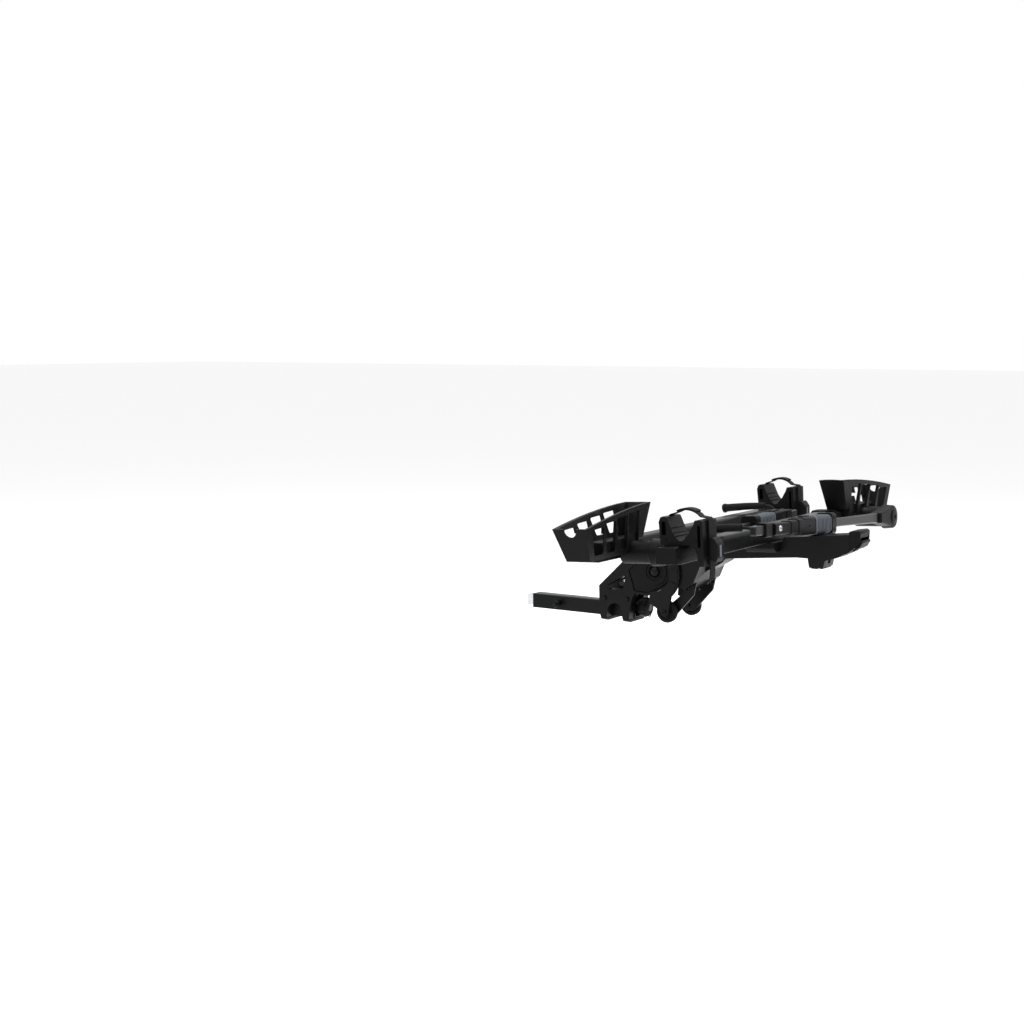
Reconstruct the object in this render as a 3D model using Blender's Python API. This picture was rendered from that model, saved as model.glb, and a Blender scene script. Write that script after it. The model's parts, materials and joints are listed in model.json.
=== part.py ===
"""Two-bike hitch rack: a tongue and bracket that stay on the car, and a platform that tilts on them.

World frame, metres: the origin is on the underside of the tongue, where it enters the receiver.
+X points away from the car, +Y to the car's right and +Z up. Everything that tilts is modelled in
platform axes, measured from the hinge, and hangs from an empty that stands on the hinge.
"""

import math

import bmesh
import bpy
from mathutils import Matrix, Vector

GAP = 0.0004

TONGUE_SIDE = 0.0508
TONGUE_WALL = 0.005
TONGUE_FRONT = -0.180
TONGUE_REAR = 0.235
TONGUE_STEP_X = 0.108
PIN_X = -0.070
PIN_RADIUS = 0.0077
PIN_CLEARANCE = 0.0006
DRAW_BOLT_LIFT = 0.0127
DRAW_BOLT_RADIUS = 0.0045

HINGE_X = 0.343
HINGE_Z = 0.1774
PLATFORM_RISE = math.radians(3.2)

BRACKET_INSIDE = 0.0258
BRACKET_OUTSIDE = 0.060
HUB_OUTSIDE = 0.086
COVER_THICKNESS = 0.0070
PIVOT_RADIUS = 0.010
HUB_RIGHT_RADIUS = 0.064
COVER_RADIUS = 0.059
FOOT_THICKNESS = 0.012
BRACKET_BOLTS = (("front", 0.134, 0.066), ("rear", 0.221, 0.070))

ROTOR_INSIDE = 0.1000
ROTOR_THICKNESS = 0.010
ROTOR_OUTER_RADIUS = 0.106
ROTOR_INNER_RADIUS = 0.067
LUG_RADIUS = 0.0165
NECK_START = 0.080
NECK_HALF_WIDTH = 0.0992

WHEEL_RADIUS = 0.0375
WHEEL_LIP_RADIUS = WHEEL_RADIUS - 0.004
WHEEL_WIDTH = 0.021
WHEEL_Y = 0.0880
WHEEL_X = 0.0424
WHEEL_Z = -0.1330
AXLE_RADIUS = 0.005
FORK_OUTSIDE = 0.0745
FORK_THICKNESS = 0.009

SPINE_HALF_WIDTH = 0.040
SPINE_TOP = 0.0952
SPINE_TAIL_TOP = 0.126
HUB_BARREL_RADIUS = 0.058

FIRST_BEAM_X = 0.1118
BIKE_SPACING = 0.272
LAST_BEAM_X = FIRST_BEAM_X + BIKE_SPACING
SPINE_END = LAST_BEAM_X + 0.2882
ROD_LENGTH = LAST_BEAM_X + 0.0162
BEAM_WIDTH = 0.074
BEAM_TOP_WIDTH = 0.062
BEAM_HEIGHT = 0.052
BEAM_BASE = 0.1036
BEAM_WALL = 0.004
BEAM_CAP_END = 0.718
BEAM_CAP_LENGTH = 0.016
BEAM_CRADLE_END = 0.700
CLAMP_WIDTH = 0.105

HOLDER_Y = 0.632
HOLDER_OFFSET = 0.0295
HOLDER_HALF_WIDTH = 0.071
HOLDER_THICKNESS = 0.091
HOLDER_TOP = 0.2416
STRAP_WIDTH = 0.030
STRAP_THICKNESS = 0.003
STRAP_ARCH_TOP = 0.2586
BUCKLE_LENGTH = 0.072
BUCKLE_WIDTH = 0.044
BUCKLE_DEPTH = 0.026

CRADLE_OFFSET = 0.0345
CRADLE_INNER_Y = 0.444
CRADLE_OUTER_Y = 0.859
CRADLE_LOW_INNER_Y = 0.500
CRADLE_LOW_OUTER_Y = 0.828
CRADLE_INNER_TOP = 0.2650
CRADLE_OUTER_TOP = 0.2190
CRADLE_BASE = 0.1206
CRADLE_STEP_Y = 0.712
CRADLE_WALL = 0.0055
CRADLE_WINDOWS = 4
WINDOW_START = 0.520
WINDOW_PITCH = 0.0765
CRADLE_RIB = 0.0105
CRADLE_RIM = 0.014
SLOT_BASE = 0.1350
SLOT_BACK = 0.0660
SKIRT_INNER_Y = 0.510
CRADLE_INNER_WIDTH = 0.090
CRADLE_OUTER_WIDTH = 0.117
CRADLE_FLOOR_WIDTH = 0.080
SADDLE_INNER_Y = 0.446
SADDLE_OUTER_Y = 0.498

ARM_OFFSET = 0.1575
REAR_PIVOT_Y = 0.657
FRONT_PIVOT_Y = 0.545
ARM_PIVOT_Z = 0.1196
ARM_TIP_REACH = 0.463
ARM_ROOT_HEIGHT = 0.034
ARM_TIP_HEIGHT = 0.029
ARM_THICKNESS = 0.020
KNUCKLE_RADIUS = 0.043
KNUCKLE_THICKNESS = 0.040
KNUCKLE_LENGTH = 0.128
HOUSING_RADIUS = 0.0355
REAR_ARM_RISE = math.radians(3.0)
FRONT_ARM_RISE = math.radians(1.6)
REAR_CARRIAGE_REACH = -0.110
FRONT_CARRIAGE_REACH = 0.088
CARRIAGE_LENGTH = 0.250
CARRIAGE_HEIGHT = 0.056
CARRIAGE_WIDTH = 0.050
COLLAR_LENGTH = 0.034
COLLAR_HEIGHT = 0.070
COLLAR_WIDTH = 0.058
GRIP_START = 0.040
GRIP_LENGTH = 0.118
GRIP_WALL = 0.005
SLIDE_CLEARANCE = 0.0008
LOCK_HOUSING_LENGTH = 0.205
RATCHET_WIDTH = 0.012
HOOK_REACH_ALONG = 0.383
HOOK_CLAMP_LENGTH = 0.040
HOOK_ROD_RADIUS = 0.005
HOOK_REACH = 0.236
SLEEVE_LENGTH = 0.166
SLEEVE_RADIUS = 0.0115
SLEEVE_CAP_RADIUS = 0.0140
FRONT_HOOK_RISE = 0.032
REAR_HOOK_RISE = 0.003

ROUND_STEPS = 28


def clear_scene():
    for obj in list(bpy.data.objects):
        bpy.data.objects.remove(obj, do_unlink=True)


def material(name, colour, roughness, metallic=0.0):
    made = bpy.data.materials.new(name)
    made.use_nodes = True
    shader = made.node_tree.nodes["Principled BSDF"]
    shader.inputs["Base Color"].default_value = (*colour, 1.0)
    shader.inputs["Roughness"].default_value = roughness
    shader.inputs["Metallic"].default_value = metallic
    made.diffuse_color = (*colour, 1.0)
    return made


def make_materials():
    return {
        "black_coat": material("black_coat", (0.012, 0.012, 0.013), 0.38, 0.2),
        "black_plastic": material("black_plastic", (0.017, 0.017, 0.018), 0.52),
        "rubber": material("rubber", (0.011, 0.011, 0.011), 0.75),
        "dark_grey_tube": material("dark_grey_tube", (0.060, 0.061, 0.064), 0.40, 0.3),
        "grey_grip": material("grey_grip", (0.270, 0.300, 0.345), 0.55),
        "silver": material("silver", (0.62, 0.63, 0.65), 0.28, 1.0),
    }


class Kit:
    """Holds the materials and puts each finished mesh under its empty."""

    def __init__(self):
        self.materials = make_materials()

    def empty(self, name, location, parent=None, turn=None):
        made = bpy.data.objects.new(name, None)
        bpy.context.scene.collection.objects.link(made)
        made.location = location
        if turn is not None:
            made.rotation_euler = turn
        made.parent = parent
        return made

    def add(self, name, mesh_builder, look, parent=None, location=(0.0, 0.0, 0.0)):
        mesh = bpy.data.meshes.new(name)
        bmesh.ops.recalc_face_normals(mesh_builder, faces=mesh_builder.faces[:])
        mesh_builder.to_mesh(mesh)
        mesh_builder.free()
        mesh.materials.append(self.materials[look])
        mesh.shade_smooth()
        mesh.set_sharp_from_angle(angle=math.radians(32))
        made = bpy.data.objects.new(name, mesh)
        bpy.context.scene.collection.objects.link(made)
        made.parent = parent
        made.location = location
        return made

    def cut(self, target, name, mesh_builder, operation="DIFFERENCE"):
        """Adds a Boolean of a shape modelled in the target's own axes."""
        cutter = self.add(name, mesh_builder, "black_plastic", target.parent, target.location)
        cutter.hide_render = True
        cutter.display_type = "WIRE"
        boolean = target.modifiers.new(name, "BOOLEAN")
        boolean.operation = operation
        boolean.object = cutter
        boolean.solver = "EXACT"
        return cutter


def frame_axes(axis):
    """Two directions that carry an outline, and the one it is extruded along."""
    return {
        "X": (Vector((0, 1, 0)), Vector((0, 0, 1)), Vector((1, 0, 0))),
        "Y": (Vector((1, 0, 0)), Vector((0, 0, 1)), Vector((0, 1, 0))),
        "Z": (Vector((1, 0, 0)), Vector((0, 1, 0)), Vector((0, 0, 1))),
    }[axis]


def extrude_outline(target, outline, axis, start, end, start_scale=1.0, end_scale=1.0):
    """Adds a prism whose outline lies across an axis; the scales shrink its two ends about their middle."""
    across, up, along = frame_axes(axis)
    middle = sum((Vector(point) for point in outline), Vector((0, 0))) / len(outline)
    rings = []
    for place, scale in ((start, start_scale), (end, end_scale)):
        ring = []
        for point in outline:
            flat = middle + (Vector(point) - middle) * scale
            ring.append(target.verts.new(across * flat.x + up * flat.y + along * place))
        rings.append(ring)
    target.faces.new(rings[0])
    target.faces.new(rings[1])
    for index in range(len(outline)):
        after = (index + 1) % len(outline)
        target.faces.new((rings[0][index], rings[0][after], rings[1][after], rings[1][index]))
    return target


def prism(outline, axis, start, end, start_scale=1.0, end_scale=1.0):
    return extrude_outline(bmesh.new(), outline, axis, start, end, start_scale, end_scale)


def box(low, high):
    outline = [(low[0], low[2]), (high[0], low[2]), (high[0], high[2]), (low[0], high[2])]
    return prism(outline, "Y", low[1], high[1])


def rounded_corners(outline, radius, steps=3):
    """The same outline with each corner turned into a short curve."""
    points = []
    count = len(outline)
    for index in range(count):
        corner = Vector(outline[index])
        before = Vector(outline[index - 1])
        after = Vector(outline[(index + 1) % count])
        start = corner + (before - corner).normalized() * radius
        end = corner + (after - corner).normalized() * radius
        for step in range(steps + 1):
            share = step / steps
            spot = start * (1 - share) ** 2 + corner * 2 * share * (1 - share) + end * share ** 2
            points.append(tuple(spot))
    return points


def arc(centre, radius, start, end, steps):
    """Points of an arc, its ends included, with angles in degrees."""
    points = []
    for index in range(steps + 1):
        angle = math.radians(start + (end - start) * index / steps)
        points.append((centre[0] + radius * math.cos(angle), centre[1] + radius * math.sin(angle)))
    return points


def rounded_rectangle(width, height, radius, steps=3, centre=(0.0, 0.0)):
    half_width = width / 2 - radius
    half_height = height / 2 - radius
    points = []
    for quarter, (side, level) in enumerate(((1, 1), (-1, 1), (-1, -1), (1, -1))):
        corner = (centre[0] + side * half_width, centre[1] + level * half_height)
        points += arc(corner, radius, 90 * quarter, 90 * quarter + 90, steps)
    return points


def turned(profile, axis, centre=(0.0, 0.0, 0.0), steps=ROUND_STEPS):
    """Turns a closed profile of (radius, place along the axis) round an axis through the centre."""
    across, up, along = frame_axes(axis)
    made = bmesh.new()
    rings = []
    for step in range(steps):
        angle = math.tau * step / steps
        outward = across * math.cos(angle) + up * math.sin(angle)
        ring = []
        for radius, place in profile:
            ring.append(made.verts.new(Vector(centre) + outward * radius + along * place))
        rings.append(ring)
    for step in range(steps):
        this, after = rings[step], rings[(step + 1) % steps]
        for index in range(len(profile)):
            following = (index + 1) % len(profile)
            made.faces.new((this[index], this[following], after[following], after[index]))
    bmesh.ops.remove_doubles(made, verts=made.verts[:], dist=1e-6)
    return made


def cylinder(radius, axis, start, end, centre=(0.0, 0.0, 0.0), steps=ROUND_STEPS, chamfer=0.0):
    """A solid cylinder along an axis, with a chamfer at both ends when one is given."""
    middle = (centre[1], centre[2]) if axis == "X" else (centre[0], centre[2])
    if axis == "Z":
        middle = (centre[0], centre[1])
    made = bmesh.new()
    across, up, along = frame_axes(axis)
    places = [(radius, start), (radius, end)]
    if chamfer:
        places = [
            (radius - chamfer, start),
            (radius, start + chamfer),
            (radius, end - chamfer),
            (radius - chamfer, end),
        ]
    rings = []
    for size, place in places:
        ring = []
        for step in range(steps):
            angle = math.tau * step / steps
            flat = (middle[0] + size * math.cos(angle), middle[1] + size * math.sin(angle))
            ring.append(made.verts.new(across * flat[0] + up * flat[1] + along * place))
        rings.append(ring)
    made.faces.new(rings[0])
    made.faces.new(rings[-1])
    for this, after in zip(rings, rings[1:]):
        for step in range(steps):
            following = (step + 1) % steps
            made.faces.new((this[step], this[following], after[following], after[step]))
    return made


def joined(builders):
    """Puts several separate cutting shapes into one mesh."""
    made = bmesh.new()
    for builder in builders:
        mesh = bpy.data.meshes.new("joining")
        builder.to_mesh(mesh)
        builder.free()
        made.from_mesh(mesh)
        bpy.data.meshes.remove(mesh)
    return made


def sweep(path, radii, steps=12):
    """A round bar along a smooth path, with its own radius at each point and flat ends."""
    made = bmesh.new()
    points = [Vector(point) for point in path]
    rings = []
    side = Vector((0, 1, 0))
    for index, point in enumerate(points):
        before = points[max(index - 1, 0)]
        after = points[min(index + 1, len(points) - 1)]
        along = (after - before).normalized()
        side = (side - along * side.dot(along)).normalized()
        other = along.cross(side)
        ring = []
        for step in range(steps):
            angle = math.tau * step / steps
            offset = side * math.cos(angle) + other * math.sin(angle)
            ring.append(made.verts.new(point + offset * radii[index]))
        rings.append(ring)
    made.faces.new(rings[0])
    made.faces.new(rings[-1])
    for this, after in zip(rings, rings[1:]):
        for step in range(steps):
            following = (step + 1) % steps
            made.faces.new((this[step], this[following], after[following], after[step]))
    return made


def loft(sections):
    """Joins outlines of equal length into one closed body."""
    made = bmesh.new()
    rings = [[made.verts.new(point) for point in section] for section in sections]
    made.faces.new(rings[0])
    made.faces.new(rings[-1])
    for this, after in zip(rings, rings[1:]):
        for index in range(len(this)):
            following = (index + 1) % len(this)
            made.faces.new((this[index], this[following], after[following], after[index]))
    return made


# Parts that stay on the car


def build_tongue(kit):
    half = TONGUE_SIDE / 2
    bore = half - TONGUE_WALL
    outline = rounded_rectangle(TONGUE_SIDE, TONGUE_SIDE, 0.004, 2, (0.0, half))
    tongue = kit.add("hitch_tongue", prism(outline, "X", TONGUE_FRONT, TONGUE_REAR), "black_coat")
    inside = box((TONGUE_FRONT - 0.01, -bore, half - bore), (TONGUE_REAR + 0.01, bore, half + bore))
    kit.cut(tongue, "tongue_bore", inside)
    hole = cylinder(PIN_RADIUS + PIN_CLEARANCE, "Y", -0.05, 0.05, (PIN_X, 0.0, half), 20)
    kit.cut(tongue, "tongue_pin_hole", hole)
    relief = box((TONGUE_STEP_X, -0.03, -0.01), (TONGUE_REAR + 0.01, 0.03, 0.0006))
    kit.cut(tongue, "tongue_step", relief)


def build_hitch_pin(kit):
    """A cross pin with a head and its clip, both of them withdrawn along +Y."""
    half = TONGUE_SIDE / 2
    centre = (PIN_X, 0.0, half)
    shank_end = -0.058
    head = 0.050
    pin = cylinder(PIN_RADIUS, "Y", shank_end, head, centre, 20, 0.001)
    kit.add("hitch_pin", pin, "silver")
    ring = []
    for index in range(21):
        angle = math.radians(200 + 320 * index / 20)
        reach = PIN_RADIUS + 0.0035
        ring.append((PIN_X + reach * math.cos(angle), -0.050, half + reach * math.sin(angle)))
    kit.add("pin_clip", sweep(ring, [0.0016] * len(ring), 8), "black_coat")


def build_tension_knob(kit):
    """The knob turns the draw bolt, which pulls the wedge into the tongue's front end."""
    half = TONGUE_SIDE / 2
    axis = kit.empty("tension_axis", (TONGUE_REAR, 0.0, half + DRAW_BOLT_LIFT))
    bolt = cylinder(DRAW_BOLT_RADIUS, "X", TONGUE_FRONT - 0.024 - TONGUE_REAR, 0.0155, (0, 0, 0), 16)
    kit.add("draw_bolt", bolt, "silver", axis)
    knob_profile = [
        (DRAW_BOLT_RADIUS + GAP, 0.001),
        (0.022, 0.001),
        (0.027, 0.006),
        (0.033, 0.018),
        (0.034, 0.034),
        (0.029, 0.043),
        (0.020, 0.046),
        (0.020, 0.040),
        (DRAW_BOLT_RADIUS + GAP, 0.040),
    ]
    knob = kit.add("tension_knob", turned(knob_profile, "X"), "black_plastic", axis)
    flutes = []
    for index in range(6):
        angle = math.tau * (index + 0.5) / 6
        centre = (0.0, 0.041 * math.cos(angle), 0.041 * math.sin(angle))
        flutes.append(cylinder(0.011, "X", -0.01, 0.06, centre, 12))
    kit.cut(knob, "knob_flutes", joined(flutes))
    leaf = [(-0.014, -0.010), (0.000, -0.014), (0.014, -0.004), (0.012, 0.008), (-0.004, 0.013)]
    kit.add("knob_insert", prism(leaf, "X", 0.0405, 0.0475), "grey_grip", axis)
    wedge_axis = kit.empty("wedge_axis", (TONGUE_FRONT, 0.0, half))
    bore = half - TONGUE_WALL - 0.0008
    wedge = kit.add(
        "expander_wedge",
        prism([(-bore, -bore), (bore, -bore), (bore, bore), (-bore, bore)], "X", -0.0260, -0.0010, 1.0, 0.84),
        "silver",
        wedge_axis,
    )
    way = cylinder(DRAW_BOLT_RADIUS + GAP, "X", -0.04, 0.02, (0, 0, DRAW_BOLT_LIFT), 16)
    kit.cut(wedge, "wedge_bore", way)


def bracket_outline():
    """The side plate in world X and Z: two legs, a long upper edge, and the round of the hub."""
    hub = (HINGE_X, HINGE_Z)
    points = [
        (0.112, TONGUE_SIDE + 0.058),
        (0.114, 0.030),
        (0.119, -0.0005),
        (0.143, -0.0005),
        (0.147, 0.030),
        (0.156, 0.046),
        (0.176, 0.053),
        (0.194, 0.047),
        (0.202, 0.030),
        (0.205, -0.0005),
        (0.231, -0.0005),
        (0.234, 0.040),
        (0.240, 0.068),
        (0.252, 0.0935),
        (0.315, 0.0900),
        (0.352, 0.1050),
    ]
    points += arc(hub, HUB_RIGHT_RADIUS, -62, 80, 12)
    points += [(0.325, 0.2440), (0.287, 0.2280), (0.229, 0.2215)]
    return points


def window_outline():
    return [(0.143, 0.111), (0.147, 0.098), (0.206, 0.101), (0.216, 0.146), (0.209, 0.149)]


def hub_outline(inset):
    """The five-sided boss of the hub with its round right side; the inset moves it inwards."""
    hub = (HINGE_X, HINGE_Z)
    points = [
        (0.233 + inset, 0.1745),
        (0.257 + inset * 0.9, 0.0975 + inset * 0.9),
        (0.315, 0.0925 + inset),
    ]
    points += arc(hub, HUB_RIGHT_RADIUS - inset * 0.6, -62, 80, 12)
    points += [(0.325, 0.2430 - inset), (0.287 + inset * 0.4, 0.2255 - inset)]
    return points


def build_bracket(kit, side, label):
    inner = side * BRACKET_INSIDE
    outer = side * BRACKET_OUTSIDE
    plate = kit.add(f"bracket_{label}", prism(bracket_outline(), "Y", inner, outer), "black_coat")
    kit.cut(plate, f"bracket_window_{label}", prism(window_outline(), "Y", inner - side * 0.01, outer + side * 0.01))
    boss = prism(hub_outline(0.0), "Y", side * (BRACKET_OUTSIDE - 0.004), side * HUB_OUTSIDE)
    kit.cut(plate, f"bracket_boss_{label}", boss, "UNION")
    recess = prism(hub_outline(0.009), "Y", side * (HUB_OUTSIDE - 0.006), side * (HUB_OUTSIDE + 0.01))
    kit.cut(plate, f"bracket_recess_{label}", recess)
    centre = (HINGE_X, 0.0, HINGE_Z)
    hole = cylinder(PIVOT_RADIUS + GAP, "Y", side * 0.01, side * 0.12, centre, 24)
    kit.cut(plate, f"bracket_pivot_hole_{label}", hole)
    for end, place, level in BRACKET_BOLTS:
        hole = cylinder(0.004 + GAP, "Y", side * 0.01, side * 0.08, (place, 0.0, level), 16)
        kit.cut(plate, f"bracket_bolt_hole_{end}_{label}", hole)


def build_hub_cover(kit, side, label):
    start = HUB_OUTSIDE - 0.006 + GAP
    outline = hub_outline(0.0105)
    cover = prism(outline, "Y", side * start, side * (start + COVER_THICKNESS), 1.0, 0.965)
    plate = kit.add(f"hub_cover_{label}", cover, "black_plastic")
    centre = (HINGE_X, 0.0, HINGE_Z)
    kit.cut(plate, f"cover_hole_{label}", cylinder(PIVOT_RADIUS + 0.0105, "Y", side * 0.07, side * 0.1, centre, 28))


def build_pivot_bolt(kit):
    """The bolt that the platform tilts on, with a domed head at each end."""
    face = HUB_OUTSIDE - 0.006 + GAP
    profile = [(0.0, -face - 0.013)]
    for radius, height in ((0.008, 0.0125), (0.014, 0.010), (0.018, 0.005), (0.019, 0.0)):
        profile.append((radius, -face - height))
    profile += [(PIVOT_RADIUS, -face), (PIVOT_RADIUS, face)]
    for radius, height in ((0.019, 0.0), (0.018, 0.005), (0.014, 0.010), (0.008, 0.0125)):
        profile.append((radius, face + height))
    profile.append((0.0, face + 0.013))
    bolt = bmesh.new()
    verts = [bolt.verts.new((radius, place, 0.0)) for radius, place in profile]
    edges = [bolt.edges.new(pair) for pair in zip(verts, verts[1:])]
    bmesh.ops.spin(
        bolt,
        geom=verts + edges,
        cent=(0, 0, 0),
        axis=(0, 1, 0),
        angle=math.tau,
        steps=24,
        use_merge=True,
    )
    bmesh.ops.remove_doubles(bolt, verts=bolt.verts[:], dist=1e-6)
    kit.add("pivot_bolt", bolt, "black_coat", None, (HINGE_X, 0.0, HINGE_Z))


def build_feet(kit):
    """Two straps under the tongue that tie the bracket's legs together."""
    for label, low, high in (("front", 0.119, 0.143), ("rear", 0.205, 0.231)):
        outline = [
            (-BRACKET_OUTSIDE, -0.0009),
            (-BRACKET_OUTSIDE, -0.006),
            (-0.045, -FOOT_THICKNESS),
            (0.045, -FOOT_THICKNESS),
            (BRACKET_OUTSIDE, -0.006),
            (BRACKET_OUTSIDE, -0.0009),
        ]
        kit.add(f"foot_{label}", prism(outline, "X", low, high), "black_coat")


def build_bracket_bolts(kit):
    """Two cross bolts over the tongue, with a head on one side and a nut on the other."""
    for label, place, level in BRACKET_BOLTS:
        head = BRACKET_OUTSIDE + GAP
        reach = head + 0.006
        bolt = kit.add(
            f"bracket_bolt_{label}",
            cylinder(0.004, "Y", -reach + 0.001, reach - 0.001, (place, 0, level), 16),
            "black_coat",
        )
        for side in (-1, 1):
            hexagon = cylinder(0.0085, "Y", side * head, side * reach, (place, 0, level), 6)
            kit.cut(bolt, f"bolt_head_{label}_{side + 1}", hexagon, "UNION")


# Parts that tilt


def spine_outline():
    """Side view of the spine in platform axes, from the hinge barrel to the tail."""
    points = arc((0.0, 0.0), HUB_BARREL_RADIUS, 48, 325, 20)
    points += [
        (0.120, -0.0300),
        (0.164, 0.0000),
        (0.229, 0.0320),
        (0.238, 0.0440),
        (LAST_BEAM_X + 0.1062, 0.0520),
        (LAST_BEAM_X + 0.1462, 0.0500),
        (LAST_BEAM_X + 0.1502, 0.0150),
        (LAST_BEAM_X + 0.1722, 0.0130),
        (LAST_BEAM_X + 0.1762, 0.0240),
        (LAST_BEAM_X + 0.1822, 0.0130),
        (LAST_BEAM_X + 0.1982, 0.0160),
        (LAST_BEAM_X + 0.2042, 0.0420),
    ]
    curve = ((LAST_BEAM_X + 0.2462, 0.0530), (SPINE_END, 0.0700))
    points += list(curve)
    points += [
        (SPINE_END, SPINE_TAIL_TOP),
        (LAST_BEAM_X + 0.1762, 0.1215),
        (LAST_BEAM_X + 0.0682, 0.1160),
        (LAST_BEAM_X + 0.0562, SPINE_TOP),
        (0.085, SPINE_TOP),
    ]
    return points


def build_spine(kit, platform):
    spine = prism(spine_outline(), "Y", -(BRACKET_INSIDE - GAP), BRACKET_INSIDE - GAP)
    body = kit.add("spine", spine, "black_coat", platform)
    wide = [
        (NECK_START + 0.032, -0.0340),
        (0.164, -0.0040),
        (0.230, 0.0300),
        (0.240, 0.0430),
        (LAST_BEAM_X + 0.1062, 0.0510),
        (LAST_BEAM_X + 0.1462, 0.0490),
        (LAST_BEAM_X + 0.1502, 0.0190),
        (LAST_BEAM_X + 0.1982, 0.0190),
        (LAST_BEAM_X + 0.2042, 0.0410),
        (LAST_BEAM_X + 0.2462, 0.0520),
        (SPINE_END, 0.0700),
        (SPINE_END, SPINE_TAIL_TOP),
        (LAST_BEAM_X + 0.1762, 0.1215),
        (LAST_BEAM_X + 0.0682, 0.1160),
        (LAST_BEAM_X + 0.0562, SPINE_TOP),
        (NECK_START + 0.032, SPINE_TOP),
    ]
    kit.cut(body, "spine_flanks", prism(wide, "Y", -SPINE_HALF_WIDTH, SPINE_HALF_WIDTH), "UNION")
    neck = [
        (NECK_START, -0.0300),
        (0.112, -0.0600),
        (0.150, -0.0330),
        (0.166, 0.0000),
        (0.190, 0.0500),
        (0.170, SPINE_TOP),
        (0.100, SPINE_TOP),
        (NECK_START, 0.0700),
    ]
    kit.cut(body, "spine_neck", prism(neck, "Y", -NECK_HALF_WIDTH, NECK_HALF_WIDTH), "UNION")
    hole = cylinder(PIVOT_RADIUS + GAP, "Y", -0.05, 0.05, (0, 0, 0), 24)
    kit.cut(body, "spine_pivot_hole", hole)
    groove = box((0.245, -0.010, 0.030), (SPINE_END + 0.02, 0.010, 0.076))
    kit.cut(body, "spine_rod_groove", groove)


def build_release(kit, platform):
    """The paddle at the tail pulls a rod that runs in the groove under the spine."""
    rod_axis = kit.empty("release_rod_axis", (0.250, 0.0, 0.066), platform)
    rod = cylinder(0.004, "X", 0.0, ROD_LENGTH, (0, 0, 0), 12)
    kit.add("release_rod", rod, "silver", rod_axis)
    cover_outline = [
        (SPINE_END + GAP, 0.1080),
        (SPINE_END + 0.034, 0.1120),
        (SPINE_END + 0.040, 0.1330),
        (SPINE_END + 0.034, 0.1400),
        (SPINE_END + GAP, 0.1370),
    ]
    width = SPINE_HALF_WIDTH + 0.001
    kit.add("tail_cover", prism(cover_outline, "Y", -width, width), "black_plastic", platform)
    lever_axis = kit.empty("tilt_lever_axis", (SPINE_END + 0.014, 0.0, 0.099), platform)
    lever_outline = arc((0.0, 0.0), 0.0075, 90, 250, 8)
    lever_outline += [(0.004, -0.022), (0.018, -0.014), (0.029, 0.002), (0.027, 0.0075), (0.014, 0.0060)]
    lever = prism(lever_outline, "Y", -0.034, 0.034)
    kit.add("tilt_lever", lever, "black_plastic", lever_axis)


def rotor_outline():
    """A ring sector round the hub that runs down into a lug over the wheel's axle."""
    lug = (WHEEL_X, WHEEL_Z)
    points = arc((0.0, 0.0), ROTOR_OUTER_RADIUS, 58, -50, 16)
    points += arc(lug, LUG_RADIUS, 8, -186, 10)
    points += arc((0.0, 0.0), ROTOR_OUTER_RADIUS, -97, -99, 1)
    points += arc((0.0, 0.0), ROTOR_INNER_RADIUS, -99, 58, 18)
    return points


def build_rotor(kit, platform, side, label):
    start = side * ROTOR_INSIDE
    end = side * (ROTOR_INSIDE + ROTOR_THICKNESS)
    rotor = kit.add(f"rotor_{label}", prism(rotor_outline(), "Y", start, end, 1.0, 0.975), "black_coat", platform)
    hole = cylinder(AXLE_RADIUS + GAP, "Y", side * 0.09, side * 0.12, (WHEEL_X, 0, WHEEL_Z), 16)
    kit.cut(rotor, f"rotor_axle_hole_{label}", hole)


def build_wheel(kit, platform, side, label):
    fork_outline = [
        (0.090, -0.0398),
        (0.1125, -0.0608),
        (0.1480, -0.0353),
        (0.136, -0.0780),
        (0.064, -0.1500),
        (0.030, -0.1520),
        (0.026, -0.1260),
        (0.088, -0.0790),
    ]
    inner = FORK_OUTSIDE - FORK_THICKNESS
    fork = prism(fork_outline, "Y", side * inner, side * FORK_OUTSIDE)
    plate = kit.add(f"wheel_fork_{label}", fork, "black_coat", platform)
    centre = (WHEEL_X, 0, WHEEL_Z)
    kit.cut(plate, f"fork_hole_{label}", cylinder(AXLE_RADIUS + GAP, "Y", side * 0.05, side * 0.09, centre, 16))
    axis = kit.empty(f"wheel_axis_{label}", (WHEEL_X, side * WHEEL_Y, WHEEL_Z), platform)
    half = WHEEL_WIDTH / 2
    bore = AXLE_RADIUS + 0.0006
    profile = [
        (bore, -half),
        (0.012, -half),
        (0.013, -half + 0.004),
        (0.024, -half + 0.004),
        (0.026, -half),
        (WHEEL_LIP_RADIUS, -half),
        (WHEEL_RADIUS, -half + 0.005),
        (WHEEL_RADIUS, half - 0.005),
        (WHEEL_LIP_RADIUS, half),
        (0.026, half),
        (0.024, half - 0.004),
        (0.013, half - 0.004),
        (0.012, half),
        (bore, half),
    ]
    kit.add(f"wheel_{label}", turned(profile, "Y"), "rubber", axis)


def build_axle(kit, platform, side, label):
    """The wheel bolt, from inside the fork to the outer face of the rotor."""
    start = side * (FORK_OUTSIDE - FORK_THICKNESS - 0.007)
    end = side * (ROTOR_INSIDE + ROTOR_THICKNESS + 0.001)
    bolt = cylinder(AXLE_RADIUS, "Y", start, end, (WHEEL_X, 0, WHEEL_Z), 16)
    kit.add(f"wheel_axle_{label}", bolt, "silver", platform)


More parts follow.
